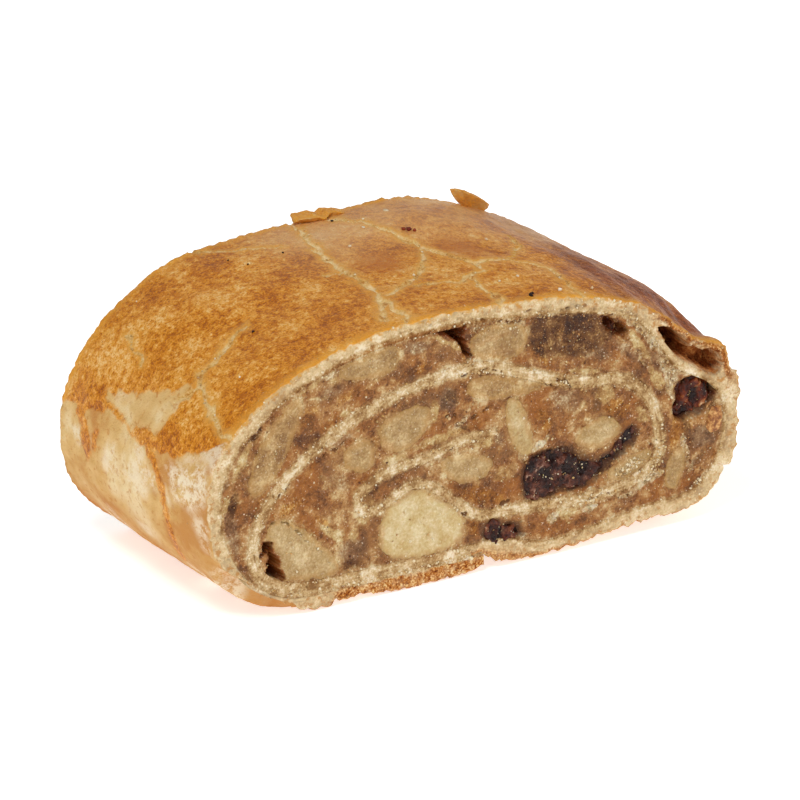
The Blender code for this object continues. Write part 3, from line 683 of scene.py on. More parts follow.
def rolled(stations, rows, across_front, across_back, across_inside):
    """The sheet between two stations as a closed loft: its measures and its faces.

    Each ring runs back along the outer side, through the back cut, forward along the inner
    side and through the front cut.  u is 0 on the outer side and 1 on the inner side.
    """
    share_front = np.arange(1, across_front) / across_front
    share_back = np.arange(1, across_back) / across_back
    inner = np.linspace(CUT, -CUT, across_inside + 1)
    u = np.r_[np.zeros(len(rows)), share_back, np.ones(len(inner)), share_front[::-1]]
    y = np.r_[rows, np.full(len(share_back), CUT), inner, np.full(len(share_front), -CUT)]
    s, u = (a.ravel() for a in np.meshgrid(stations, u, indexing="ij"))
    y = np.tile(y, len(stations))
    count = len(u) // len(stations)
    start = np.arange(len(stations) - 1)[:, None] * count + np.arange(count)[None]
    after = np.arange(len(stations) - 1)[:, None] * count + np.roll(np.arange(count), -1)[None]
    faces = np.stack([start, start + count, after + count, after], -1).reshape(-1, 4).tolist()
    faces.append(list(range(count)))
    faces.append(list(range(len(u) - 1, len(u) - count - 1, -1)))
    return s, u, y, faces


def blended(tree, parts):
    """Patterns added up, each with its weight."""
    (pattern, weight), *rest = parts
    total = add(tree, "Math", {0: pattern, 1: weight}, operation="MULTIPLY").outputs[0]
    for pattern, weight in rest:
        total = add(tree, "Math", {0: pattern, 1: weight, 2: total}, operation="MULTIPLY_ADD").outputs[0]
    return total


def cut_colour(tree, place):
    """The colour of a cut: mash, syrup, pulp and jelly, soaking the dough and fruit beside them.

    Dough, filling and fruit share it, so that they run into each other as soft wet food does.
    """
    patches = add(tree, "TexNoise", {"Vector": place, "Scale": 1000 / 6.0, "Detail": 1.5})
    shreds = add(tree, "TexNoise", {"Vector": place, "Scale": 1000 / 1.5, "Detail": 4.0, "Roughness": 0.6})
    grain = add(tree, "TexNoise", {"Vector": place, "Scale": 1000 / 0.38, "Detail": 2.0, "Roughness": 0.6})
    tone = blended(tree, ((shreds.outputs[0], 0.40), (patches.outputs[0], 0.32), (grain.outputs[0], 0.28)))
    tone = add(tree, "Math", {0: tone, 1: 1.12, 2: -0.066}, operation="MULTIPLY_ADD").outputs[0]
    colour = add(tree, "ValToRGB", {0: tone}, (
        (0.36, "#5a3214"), (0.43, "#7c4c22"), (0.50, "#965f2e"), (0.56, "#ae7942"),
        (0.64, "#cca66e"))).outputs[0]
    hue = add(tree, "TexNoise", {"Vector": place, "Scale": 1000 / 7.0, "Detail": 3.0})
    for start, end, most, code in ((0.52, 0.62, 0.3, "#8c653c"), (0.48, 0.37, 0.45, "#a5621e")):
        much = add(tree, "MapRange", {"Value": hue.outputs[0], "From Min": start, "From Max": end,
                                      "To Max": most})
        colour = add(tree, "Mix", {0: much.outputs[0], 6: colour, 7: linear(code)},
                     data_type="RGBA").outputs[2]
    pulp = add(tree, "ValToRGB", {0: tone}, (
        (0.38, "#855627"), (0.47, "#a57a45"), (0.55, "#bb9560"), (0.64, "#dcc598"))).outputs[0]
    shredded = add(tree, "Math", {0: shreds.outputs[0], 1: 0.45, 2: patches.outputs[0]},
                   operation="MULTIPLY_ADD")
    shredded = add(tree, "MapRange", {"Value": shredded.outputs[0], "From Min": 0.70, "From Max": 0.88,
                                      "To Max": 0.45})
    colour = add(tree, "Mix", {0: shredded.outputs[0], 6: colour, 7: pulp}, data_type="RGBA").outputs[2]
    # How unevenly each kind lies where it is: about 1, less and more from place to place.
    uneven = add(tree, "Math", {0: shreds.outputs[0], 1: 2.0, 2: 0.0}, operation="MULTIPLY_ADD").outputs[0]
    # The dark and red shades are partly painted shade over the cut's gaps and hollows.
    for label, stops in (
            ("pale", ((0.38, "#8c6030"), (0.47, "#b08850"), (0.55, "#c7a871"), (0.64, "#e2d0a6"))),
            ("grey", ((0.38, "#604024"), (0.47, "#835d3c"), (0.55, "#9f7c55"), (0.64, "#ccb48e"))),
            ("amber", ((0.38, "#66380b"), (0.46, "#8c5316"), (0.54, "#ab7230"), (0.64, "#d4a860"))),
            ("crumbly", ((0.39, "#84592f"), (0.45, "#ab8559"), (0.52, "#c9ad81"), (0.62, "#eadcbd"))),
            ("dark", ((0.38, "#3a1c08"), (0.46, "#593416"), (0.54, "#784e26"), (0.64, "#b48d58"))),
            ("red", ((0.39, "#200803"), (0.46, "#481708"), (0.54, "#74331a"), (0.64, "#a96c44")))):
        shade = add(tree, "ValToRGB", {0: tone}, stops).outputs[0]
        much = add(tree, "Attribute", attribute_name=label).outputs["Fac"]
        much = add(tree, "Math", {0: much, 1: uneven}, operation="MULTIPLY").outputs[0]
        much = add(tree, "MapRange", {"Value": much, "From Min": 0.05, "From Max": 0.80},
                   interpolation_type="SMOOTHSTEP")
        colour = add(tree, "Mix", {0: much.outputs[0], 6: colour, 7: shade}, data_type="RGBA").outputs[2]
    # Pulp lies beside apple and dark syrup beside raisins; the sheet is soaked at its sides and
    # cream further in.
    ply = add(tree, "Attribute", attribute_name="ply").outputs["Fac"]
    ply = add(tree, "Math", {0: ply, 1: 0.06, 2: tone}, operation="MULTIPLY_ADD").outputs[0]
    soaked = add(tree, "ValToRGB", {0: ply}, (
        (0.38, "#7f552b"), (0.45, "#a17847"), (0.52, "#ba9562"), (0.60, "#d8c096"))).outputs[0]
    cream = add(tree, "ValToRGB", {0: ply}, (
        (0.38, "#8e683c"), (0.44, "#ae8a5a"), (0.50, "#c6a878"), (0.56, "#d9c098"),
        (0.64, "#f0e2c8"))).outputs[0]
    dry = add(tree, "MapRange", {"Value": hue.outputs[0], "From Min": 0.38, "From Max": 0.54, "To Min": 0.6,
                                 "To Max": 1.0}).outputs[0]
    cream = add(tree, "Mix", {0: dry, 6: soaked, 7: cream}, data_type="RGBA").outputs[2]
    for label, reach, start, end, most, shade in (
            ("apple", 3.2, 1.3, -0.7, 0.85, pulp), ("raisin", 3.0, 1.1, -0.3, 0.85, linear("#47291a")),
            ("sheet", 1.6, 0.75, -0.1, 0.85, soaked), ("sheet", 1.0, 0.15, -0.5, 0.95, cream)):
        gap = add(tree, "Attribute", attribute_name=label).outputs["Fac"]
        gap = add(tree, "Math", {0: uneven, 1: -reach / 2, 2: gap}, operation="MULTIPLY_ADD").outputs[0]
        gap = add(tree, "MapRange", {"Value": gap, "From Min": start - reach / 2,
                                     "From Max": end - reach / 2, "To Max": most},
                  interpolation_type="SMOOTHSTEP").outputs[0]
        colour = add(tree, "Mix", {0: gap, 6: colour, 7: shade}, data_type="RGBA").outputs[2]
    # Along the cracks of a cut the colour turns dark brown: painted shade in the gaps.
    crack = add(tree, "Attribute", attribute_name="crack").outputs["Fac"]
    crack = add(tree, "Math", {0: shreds.outputs[0], 1: 1.1, 2: crack}, operation="MULTIPLY_ADD").outputs[0]
    crack = add(tree, "MapRange", {"Value": crack, "From Min": 0.95, "From Max": 1.3,
                                   "To Max": 0.85}).outputs[0]
    colour = add(tree, "Mix", {0: crack, 6: colour, 7: linear("#6e3f18")}, data_type="RGBA").outputs[2]
    # In and round the front hollows the cut is painted deep brown: painted shade.
    deep = add(tree, "Attribute", attribute_name="deep").outputs["Fac"]
    colour = add(tree, "Mix", {0: deep, 6: colour, 7: linear("#7a3a10")}, data_type="RGBA").outputs[2]
    # Darkest and palest grains: painted shade and painted wet glints, partly dark and pale fibres.
    for start, end, most, code in ((0.33, 0.25, 0.4, "#4e290c"), (0.66, 0.74, 0.75, "#f6ecd6")):
        much = add(tree, "MapRange", {"Value": grain.outputs[0], "From Min": start, "From Max": end,
                                      "To Max": most})
        colour = add(tree, "Mix", {0: much.outputs[0], 6: colour, 7: linear(code)},
                     data_type="RGBA").outputs[2]
    return colour, tone, shreds.outputs[0], grain.outputs[0]


def wavering(tree, measure, pattern, swing, ends, amounts, fade="SMOOTHSTEP"):
    """How much shows where a measure runs from one end to the other, while a pattern sways it."""
    swayed = add(tree, "Math", {0: pattern, 1: swing[0], 2: swing[1]}, operation="MULTIPLY_ADD").outputs[0]
    swayed = add(tree, "Math", {0: measure, 1: swayed}, operation="ADD").outputs[0]
    return add(tree, "MapRange", {"Value": swayed, "From Min": ends[0], "From Max": ends[1],
                                  "To Min": amounts[0], "To Max": amounts[1]},
               interpolation_type=fade).outputs[0]


def baked_dough(name, outermost):
    """Baked strudel dough: egg glaze over a dry, fine-grained crumb.

    The glaze gives a soft gloss and mottled gold to brown, the bare skin is matt and floury,
    and light sinks a little way into the cut crumb.
    """
    made, tree, shader = material(name)
    place = add(tree, "TexCoord").outputs["Object"]
    cut, tone, mottle, grain = cut_colour(tree, place)
    if outermost:
        patches = add(tree, "TexNoise", {"Vector": place, "Scale": 1000 / 10.0, "Detail": 4.0,
                                         "Roughness": 0.55})
        mottle = add(tree, "TexNoise", {"Vector": place, "Scale": 1000 / 1.2, "Detail": 4.0,
                                        "Roughness": 0.65}).outputs[0]
        measure = {}
        for label in ("face", "glaze", "split", "burn", "tray", "flour", "lobe", "rim", "baked", "hollow",
                      "brink", "sheet", "painted_sheen"):
            measure[label] = add(tree, "Attribute", attribute_name=label).outputs["Fac"]
        # Gold right under the glaze, orange-brown crumb on the tray, deep brown in the blister.
        gold = wavering(tree, measure["rim"], mottle, (3.2, -1.5), (0.1, 0.8), (0.6, 0.0), "LINEAR")
        pale = add(tree, "MapRange", {"Value": measure["sheet"], "From Min": -0.3, "From Max": -1.4,
                                      "To Max": 0.4})
        cut = add(tree, "Mix", {0: pale.outputs[0], 6: cut, 7: linear("#ead3a8")},
                  data_type="RGBA").outputs[2]
        pores = add(tree, "MapRange", {"Value": mottle, "From Min": 0.49, "From Max": 0.38,
                                       "To Max": 0.8}).outputs[0]
        heart = add(tree, "MapRange", {"Value": measure["sheet"], "From Min": -0.6, "From Max": -1.6})
        pores = add(tree, "Math", {0: pores, 1: heart.outputs[0]}, operation="MULTIPLY").outputs[0]
        cut = add(tree, "Mix", {0: pores, 6: cut, 7: linear("#b47a38")}, data_type="RGBA").outputs[2]
        grit = blended(tree, ((mottle, 0.5), (grain, 0.5)))
        toasted = add(tree, "ValToRGB", {0: grit}, (
            (0.38, "#5e2908"), (0.45, "#985017"), (0.52, "#be7c34"), (0.60, "#e8c88e"))).outputs[0]
        browned = add(tree, "ValToRGB", {0: grit}, (
            (0.38, "#4c1e05"), (0.46, "#7e3e10"), (0.53, "#a25c22"), (0.62, "#d09a58"))).outputs[0]
        toasted = add(tree, "Mix", {0: measure["burn"], 6: toasted, 7: browned},
                      data_type="RGBA").outputs[2]
        cut = add(tree, "Mix", {0: measure["baked"], 6: cut, 7: toasted}, data_type="RGBA").outputs[2]
        inner = add(tree, "ValToRGB", {0: tone}, (
            (0.38, "#6a320e"), (0.50, "#a8602a"), (0.62, "#dca05c"))).outputs[0]
        cut = add(tree, "Mix", {0: measure["hollow"], 6: cut, 7: inner}, data_type="RGBA").outputs[2]
        singed = add(tree, "Mix", {0: measure["burn"], 6: linear("#dca650"), 7: linear("#a45a20")},
                     data_type="RGBA")
        cut = add(tree, "Mix", {0: gold, 6: cut, 7: singed.outputs[2]}, data_type="RGBA").outputs[2]
        # Bare skin: beige, golden where the oven caught it and on the tray, white with flour.
        skin = add(tree, "ValToRGB", {0: patches.outputs[0]}, (
            (0.38, "#c68c4a"), (0.46, "#d3a664"), (0.55, "#deb87a"), (0.66, "#ead2a2"))).outputs[0]
        flecks = add(tree, "MapRange", {"Value": mottle, "From Min": 0.44, "From Max": 0.34,
                                        "To Min": 0.0, "To Max": 0.6}).outputs[0]
        skin = add(tree, "Mix", {0: flecks, 6: skin, 7: linear("#c07c34")}, data_type="RGBA").outputs[2]
        skin = add(tree, "Mix", {0: measure["tray"], 6: skin, 7: linear("#b87632")},
                   data_type="RGBA").outputs[2]
        dust = add(tree, "MapRange", {"Value": tone, "From Min": 0.42, "From Max": 0.54}).outputs[0]
        dust = add(tree, "Math", {0: dust, 1: measure["flour"]}, operation="MULTIPLY").outputs[0]
        skin = add(tree, "Mix", {0: dust, 6: skin, 7: linear("#f2e2c4")}, data_type="RGBA").outputs[2]
        # Egg glaze: gold to brown in soft patches, with fine darker freckles.
        shade = blended(tree, ((mottle, 0.40), (patches.outputs[0], 0.34), (grain, 0.26)))
        glazed = add(tree, "ValToRGB", {0: shade}, (
            (0.38, "#964e06"), (0.44, "#b66709"), (0.49, "#d08218"), (0.55, "#e29f3e"),
            (0.63, "#f2ca86"))).outputs[0]
        glazed = add(tree, "Mix", {0: measure["lobe"], 6: glazed, 7: linear("#b96508")},
                     data_type="RGBA").outputs[2]
        freckles = add(tree, "MapRange", {"Value": grain, "From Min": 0.40, "From Max": 0.32,
                                          "To Max": 0.45}).outputs[0]
        glazed = add(tree, "Mix", {0: freckles, 6: glazed, 7: linear("#8a4408")},
                     data_type="RGBA").outputs[2]
        browned = add(tree, "ValToRGB", {0: shade}, (
            (0.38, "#4e1c03"), (0.46, "#7e3a09"), (0.54, "#a2541a"), (0.64, "#ce904e"))).outputs[0]
        glazed = add(tree, "Mix", {0: measure["burn"], 6: glazed, 7: browned}, data_type="RGBA").outputs[2]
        # Painted sheen: towards the back of the top the glaze is painted paler and greyer.
        painted_sheen = add(tree, "Math", {0: measure["painted_sheen"], 1: patches.outputs[0]},
                    operation="MULTIPLY").outputs[0]
        glazed = add(tree, "Mix", {0: painted_sheen, 6: glazed, 7: linear("#d6ad80")}, data_type="RGBA").outputs[2]
        lip = wavering(tree, measure["brink"], mottle, (3.6, -1.8), (0.4, 2.4), (0.65, 0.0))
        glazed = add(tree, "Mix", {0: lip, 6: glazed, 7: linear("#e6a33c")}, data_type="RGBA").outputs[2]
        covered = wavering(tree, measure["glaze"], tone, (3.0, -1.5), (-0.4, 0.4), (0.0, 1.0))
        # Beside a crack the glaze is thin and pale, and in it the crumb shows.
        halo = wavering(tree, measure["split"], mottle, (5.0, -2.5), (1.0, 4.2), (0.7, 0.0))
        glazed = add(tree, "Mix", {0: halo, 6: glazed, 7: linear("#e0a44a")}, data_type="RGBA").outputs[2]
        top = add(tree, "Mix", {0: covered, 6: skin, 7: glazed}, data_type="RGBA").outputs[2]
        bared = wavering(tree, measure["split"], tone, (4.0, -2.0), (0.55, 1.5), (0.95, 0.0))
        crumbs = add(tree, "ValToRGB", {0: tone}, (
            (0.38, "#b87a30"), (0.46, "#dcae62"), (0.58, "#f2d9a2"))).outputs[0]
        top = add(tree, "Mix", {0: bared, 6: top, 7: crumbs}, data_type="RGBA").outputs[2]
        cut = add(tree, "Mix", {0: measure["face"], 6: top, 7: cut}, data_type="RGBA").outputs[2]
        gloss = add(tree, "MapRange", {"Value": covered, "To Min": 0.75, "To Max": 0.40}).outputs[0]
        rough = add(tree, "Math", {0: measure["burn"], 1: 0.3, 2: measure["face"]},
                    operation="MULTIPLY_ADD")
        rough = add(tree, "MapRange", {"Value": rough.outputs[0], "To Min": 0.3, "To Max": 0.8}).outputs[0]
        rough = add(tree, "Math", {0: gloss, 1: rough}, operation="MAXIMUM").outputs[0]
        tree.links.new(rough, shader.inputs["Roughness"])
    else:
        settle(shader, {"Roughness": 0.6})
    relief = add(tree, "Math", {0: mottle, 1: 1.4, 2: grain}, operation="MULTIPLY_ADD").outputs[0]
    dress(tree, shader, cut, relief, 0.6, 0.0003)
    settle(shader, {"Subsurface Weight": 0.12, "Subsurface Radius": (1.0, 0.55, 0.25),
                    "Subsurface Scale": 0.001, "Specular IOR Level": 0.18})
    return made


# The crust's skin: where it is measured, every so many millimetres.
CRUST_STEP, ROW_STEP = 0.42, 0.47
CRUST_ENDS_AT = SEAM_COVERED_AT + 5.0
# How far the crust's edge at the front cut stands out of its even run, along the sheet.
EDGE_STEPS = ((0.0, -1.1), (1.0, -0.8), (2.5, -0.5), (5.0, -0.2), (16.0, 0.0), (21.0, -0.6), (27.0, -1.0),
              (30.6, -1.0), (31.2, -0.1), (35.0, -0.2), (36.0, -0.5), (38.0, -1.2), (41.0, -2.2),
              (44.0, -2.9), (48.0, -3.5), (52.0, -2.9), (56.0, -1.4), (60.0, -0.4), (70.0, 0.0),
              (180.0, 0.0), (184.0, 0.6), (186.6, 1.3), (188.2, 1.2), (188.8, 0.3), (191.4, 0.2),
              (191.9, 0.9), (196.4, 0.9), (196.9, 0.1), (200.0, 0.1), (202.0, 0.3), (205.0, 0.7),
              (207.8, 0.9), (208.3, -0.6), (211.0, 0.2), (214.5, 0.5), (218.0, 0.2), (226.0, -0.2),
              (236.0, -0.4), (241.0, -0.6), (246.0, -0.6), (250.0, 0.3), (252.0, 0.9), (254.0, 1.6),
              (256.5, 1.7), (258.5, 1.0), (260.0, 0.0))
# Where the leaf over the blister sags at the front cut, and by how much.
SAG_MIDDLE, SAG_REACH, SAG_DEPTH, SAG_FADE = 178.0, 14.0, 2.1, 15.0
# Where the crust is browned hard, and where it lay on the tray: from and to along the sheet.
BROWNED_FROM, BROWNED_UNTIL = 158.0, 191.0
TRAY_UNTIL, TRAY_AGAIN = 46.0, 212.0
# Where the glaze lay thick: the middle along the sheet and the roll, and the reach along each.
THICK_GLAZE = ((128.0, -1.0, 7.0, 8.0), (145.0, 1.0, 7.0, 9.0))
# Swellings and dips of the crust towards the back cut: the middle and the reach along the sheet,
# the height, and where along the roll each begins.
SWELLINGS = ((145.0, 20.0, 2.1, 0.0), (160.0, 16.0, 0.8, 8.0), (98.0, 22.0, 1.2, -8.0),
             (76.0, 12.0, -0.6, -8.0), (50.0, 14.0, -0.45, -24.0), (180.0, 13.0, 0.6, -22.0),
             (181.0, 14.0, -1.3, -5.0))
# The part of the skin that crumbs lie on, and where crumbs start on its cut edge.
CRUMBED_FROM, CRUMBED_UNTIL, CRUMBED_TO_CUT, EDGE_CRUMBS_FROM = 62.0, 200.0, 24.5, 30.0
# The crown stands a little higher towards the back cut.
CROWN_MIDDLE, CROWN_REACH, CROWN_RISE = 116.0, 48.0, 0.6
rows = np.linspace(-CUT, CUT, round(LENGTH / ROW_STEP))
stations = np.linspace(0.0, CRUST_ENDS_AT, round(CRUST_ENDS_AT / CRUST_STEP))
s, u, y, faces = rolled(stations, rows, across_front=14, across_back=9, across_inside=10)
skin = u == 0
face = (u > 0).astype(float)

plan = np.stack([s, y], 1)
spread = np.stack([s, y, np.zeros(len(s))], 1)
plan = plan + 0.8 * np.stack([noise(spread, 2.6, 1, 2), noise(spread, 2.6, 2, 2)], 1)
split = np.full(len(s), FAR_OFF)
for half, line in GLAZE_CRACKS:
    away = to_line(plan, line) / (half * (1.1 + 0.6 * noise(spread, 3.0, 3)))
    split = np.minimum(split, np.maximum(away, 0))
glaze = np.minimum(plan[:, 0] - np.interp(plan[:, 1], *zip(*GLAZE_LEFT)),
                   np.interp(plan[:, 1], *zip(*GLAZE_RIGHT)) - plan[:, 0])
glaze = glaze + 1.2 * noise(spread, 5.0, 4, 2)
for half, line in DRIPS:
    glaze = np.maximum(glaze, half - to_line(plan, line))
glaze = np.minimum(glaze, to_outline(plan, BARE_PATCH) + 0.5 * noise(spread, 2.0, 5))
flour = ease(0.5 - to_outline(plan, FLOUR_PATCH) / 3.0) * 0.9
flour = np.maximum(flour, 0.7 * ease((noise(spread, 9.0, 6, 2) - 0.1) / 0.5) * (glaze < 0))
burn = ease((s - BROWNED_FROM) / 9.0) * (1 - ease((s - BROWNED_UNTIL) / 7.0))
burn = burn * (0.6 + 0.4 * ease((6.0 - y) / 26.0))
burn = np.clip(burn * (0.6 + 0.4 * ease((y + 24.0) / 6.0)) * (1 + 0.5 * noise(spread, 6.0, 7, 2)), 0, 1)
tray = (1 - ease((s - TRAY_UNTIL) / 20.0)) + ease((s - TRAY_AGAIN) / 8.0)
tray = np.clip(tray * (0.75 + 0.4 * noise(spread, 5.0, 8, 2)), 0, 1)
lobe = sum(ease(1 - np.hypot((s - at) / long, (y - aside) / wide)) for at, aside, long, wide in THICK_GLAZE)
lobe = np.clip(0.8 * lobe, 0, 1)

# The skin's relief: slow swellings, ridges along the roll, wrinkles on the shoulder, and
# cracks with the glaze lifted along them.
stretched = spread * (1.0, 0.16, 1.0)
rise = 0.28 * noise(spread, 12.0, 9, 2) + 0.09 * noise(spread, 2.6, 10, 2) + 0.03 * noise(spread, 0.9, 21)
rise += 0.16 * noise(stretched, 3.4, 11, 2) * (1 - ease(abs(s - 104.0) / 16.0))
rise += 0.12 * noise(stretched, 1.6, 12, 2) * (1 - ease((s - 74.0) / 4.0))
rise += 0.55 * noise(stretched, 4.6, 13, 2) * ease((s - 158.0) / 8.0) * (1 - ease((s - 200.0) / 8.0))
rise += 0.10 * ease(glaze / 0.8)
rise += 0.12 * ease((2.6 - split) / 1.4) * (glaze > 0) - 0.42 * ease((1.25 - split) / 0.9)
rise += CROWN_RISE * ease((y - 2.0) / 20.0) * (1 - ease(abs(s - CROWN_MIDDLE) / CROWN_REACH))
for middle, reach, height, start in SWELLINGS:
    rise += height * (1 - ease(abs(s - middle) / reach)) * ease((y - start) / 16.0)
rise -= SAG_DEPTH * (1 - ease(abs(s - SAG_MIDDLE) / SAG_REACH)) * ease((-CUT + SAG_FADE - y) / SAG_FADE)
rise += np.interp(s, *zip(*EDGE_STEPS)) * ease((-20.5 - y) / 3.0)
seam = ease((SEAM_COVERED_AT + 3 - s) / 2.0)
out = np.where(skin, -(outside(s) + rise * seam), 0.0)
thick = outside(s) + inside(s, y)
worn = ease((s - 184.0) / 6.0) + ease((44.0 - s) / 6.0)
ragged = (0.18 + 0.24 * worn) * noise(spread, 1.3, 14, 3) * (1 + 0.8 * ease((abs(y) - 21.0) / 4.0))
out = np.where(skin, out - ragged * ease((abs(y) - 22.0) / 3.0), out)
# At the cuts the dough is drawn in or out with its edge.
pull = rise * seam + ragged
across = np.where(skin, out, -outside(s) + thick * u - np.where(u == 1, 0.0, pull * (1 - u) ** 1.5))
x, z = on_sheet(s, across)
front = y < 0
points = np.stack([x, z], 1)
clear = -(1 - u) * thick + 0.9 * (1 - ease(abs(s - 116.0) / 34.0)) - 3.0 * ease((62.0 - s) / 4.0)
relief = np.where(front, crumb(points, clear, True), crumb(points, clear, False))
relief += 0.25 * ease(1 - u * thick / 0.6) * (0.6 + 2 * ragged)
pocket = to_outline(strayed(strayed(points + (MIDDLE, 0), 0.35, 1.4, 15), 0.25, 0.5, 26), POCKET)
folded = noise(flat(*points.T) * (1.4, 1.0, 0.5), 2.4, 28, 2)
pocket_depth = np.interp(x, *POCKET_FALLS) * ease(0.4 - pocket / 0.5) * (1 + 0.3 * folded)
relief = np.where(front & (u > 0), relief + pocket_depth, relief)
at_cut = (abs(y) > ON_CUT_FROM) & (u < 1)
points = np.stack([x, y - np.sign(y) * np.where(at_cut, relief, 0.0), z], 1)
points[:, 2] = np.maximum(points[:, 2], 0.0)
baked = ease((33.0 - s + 3.0 * noise(flat(x, z), 2.2, 18, 2)) / 4.0)
baked = baked * (0.9 + 0.5 * noise(flat(x, z), 1.1, 19, 2))
baked = baked * ease(((1 - u) * thick + 0.6 + 1.0 * noise(flat(x, z), 1.8, 22, 2)) / 0.9)
leaf = ease((s - 168.0) / 5.0) * (1 - ease((s - 190.0) / 5.0)) * front
baked = np.maximum(baked, leaf * ease((2.0 + 0.8 * noise(flat(x, z), 1.4, 27, 2) - u * thick) / 0.9))
baked = np.maximum(baked, 0.8 * ease((s - 236.0) / 6.0) * ease((1.2 - u * thick) / 0.8))
ply = noise(np.stack([s / 6.0, u * thick, y / 20.0], 1), 0.5, 23, 2)
crust_measures = cut_measures(x, y, z)
crust_measures.update({
    "sheet": clear, "ply": ply, "face": face,
    "rim": np.where(face > 0, u * thick, 0.0) + np.where(glaze > -1, 0.0, 1.6),
    "baked": np.clip(baked, 0, 1) * face, "hollow": ease(1.2 - pocket / 0.3) * front * (u > 0),
    # Towards the back of the top the glaze gets a painted sheen.
    "brink": CUT - abs(y), "painted_sheen": 0.9 * ease((y + 4.0) / 20.0) * ease((s - 108.0) / 16.0),
    "glaze": glaze, "split": split, "burn": burn, "tray": tray, "flour": flour, "lobe": lobe,
})
crust_looks = baked_dough("egg_glazed_crust", True)
piece("crust", swollen(points), faces, crust_looks, ("dough",), crust_measures)
edge_crumbs = at_cut & (u > 0.05) & (s > EDGE_CRUMBS_FROM) & ((pocket > 0.3) | ~front)
remember(points, facing(points), crust_measures, edge_crumbs)
outwards = -np.stack([np.interp(s, ALONG, INWARD[:, k]) for k in (0, 1)], 1)
outwards = np.stack([outwards[:, 0], np.zeros(len(s)), outwards[:, 1]], 1)
crumbed = skin & (s > CRUMBED_FROM) & (s < CRUMBED_UNTIL) & (abs(y) < CRUMBED_TO_CUT)
remember(swollen(points), outwards, crust_measures, crumbed)
SKIN_AT, SKIN_PLACES, SKIN_WAYS = plan[skin], swollen(points)[skin], outwards[skin]


# ---------------------------------------------------------------- the inner turns
# The same sheet further in, down to the core: it was steamed by the filling and never
# browned, so it is a soft cream band, soaked at its edges and cracked in places.

TURN_STEP = 0.23
LAID_UNTIL = along_at(-44.3, 9.6)
stations = np.arange(SEAM_COVERED_AT + 4.0, SHEET_LENGTH, TURN_STEP)
s, u, y, faces = rolled(stations, np.linspace(-CUT, CUT, 9), across_front=15, across_back=7,
                        across_inside=8)
thick = outside(s) + inside(s, y)
spread = np.stack([s, y, np.zeros(len(s))], 1)
laid = ease((LAID_UNTIL - s) / 5.0)
squeezed = 1 + 0.10 * noise(spread, 7.0, 16, 2)
across = (-outside(s) + thick * u) * squeezed - 0.55 * laid * (1 - u)
x, z = on_sheet(s, across)
points = np.stack([x, z], 1)
clear = -np.minimum(u + 2 * laid, 1 - u) * thick
relief = np.where(y < 0, crumb(points, clear, True), crumb(points, clear, False))
depth = np.where(abs(y) > ON_CUT_FROM, relief, 0.0)
points = np.stack([x, y - np.sign(y) * depth, z], 1)
turn_measures = cut_measures(x, y, z)
turn_measures["sheet"] = clear
turn_measures["ply"] = noise(np.stack([s / 6.0, u * thick, y / 20.0], 1), 0.45, 25, 2)
turn_looks = baked_dough("steamed_dough", False)
piece("inner_turns", swollen(points), faces, turn_looks, ("dough",), turn_measures)
remember(points, facing(points), turn_measures, (abs(y) > ON_CUT_FROM) & (u > 0) & (u < 1))


# ---------------------------------------------------------------- the filling
# Grated and diced apple cooked down with cinnamon sugar, crumbs and ground nuts: a wet, brown,
# lumpy mash that fills the room between the turns and sinks a little where it dried.

FILL_STEP = 0.278
# How far the mash tucks in under the sheet, and how much of the sheet is worked out at a time.
TUCKED, BATCH = 0.75, 4000
# Hollows that open at the front cut: the outline, then the depth.  The third to the fifth stand
# where the CAD has one long hollow, and the last, round the raisin high on the right, isn't in it.
FRONT_HOLLOWS = (
    (((-43.7, 12.6), (-43.2, 13.6), (-43.0, 14.8), (-42.2, 14.9), (-41.5, 14.3), (-41.0, 12.8),
      (-40.3, 11.7), (-39.8, 10.2), (-39.3, 8.8), (-38.7, 7.3), (-39.7, 6.9), (-41.4, 7.4), (-42.4, 8.0),
      (-42.6, 9.3), (-41.8, 9.9), (-42.4, 10.6), (-42.0, 11.5), (-41.5, 12.5), (-42.3, 13.3),
      (-43.1, 12.9)), 8.0),
    (((-9.0, 46.9), (-7.4, 46.5), (-6.5, 47.1), (-2.2, 46.9), (-1.9, 45.8), (-2.5, 44.6), (-2.1, 43.6),
      (-1.5, 42.2), (-0.5, 40.5), (-1.5, 40.3), (-2.2, 41.2), (-2.8, 42.8), (-3.6, 44.0), (-4.6, 44.8),
      (-5.8, 45.6), (-7.4, 46.2)), 5.5),
    (((26.2, 41.9), (27.4, 42.0), (28.6, 40.6), (28.2, 39.2), (27.0, 40.0)), 1.8),
    (((29.4, 40.4), (30.4, 40.2), (31.4, 38.6), (30.6, 37.4), (29.6, 38.8)), 1.8),
    (((17.2, 45.0), (18.8, 45.9), (21.0, 45.9), (23.4, 45.4), (23.8, 44.6), (21.6, 44.8), (19.6, 44.5),
      (18.0, 44.7)), 1.4),
    (((42.2, 22.0), (42.0, 23.4), (43.6, 25.6), (45.4, 27.8), (46.8, 27.0), (48.2, 25.6), (49.7, 25.0),
      (49.9, 23.4), (48.2, 22.6), (45.6, 22.6), (44.0, 22.2)), 2.2),
)


def beside_sheet(points):
    """For places on a cut: how clear of the sheet they are, where along it, and on which side."""
    clear, where, side = (np.empty(len(points)) for _ in range(3))
    for k in range(0, len(points), BATCH):
        some = points[k:k + BATCH]
        gap = some[:, None] - (LINE - (MIDDLE, 0))[None]
        nearest = (gap ** 2).sum(-1).argmin(1)
        offset = gap[np.arange(len(some)), nearest]
        s = ALONG[nearest]
        way = (offset * INWARD[nearest]).sum(1)
        reach = np.where(way > 0, inside(s, -CUT), outside(s))
        clear[k:k + BATCH] = np.hypot(*offset.T) - reach
        where[k:k + BATCH], side[k:k + BATCH] = s, way
    return clear, where, side


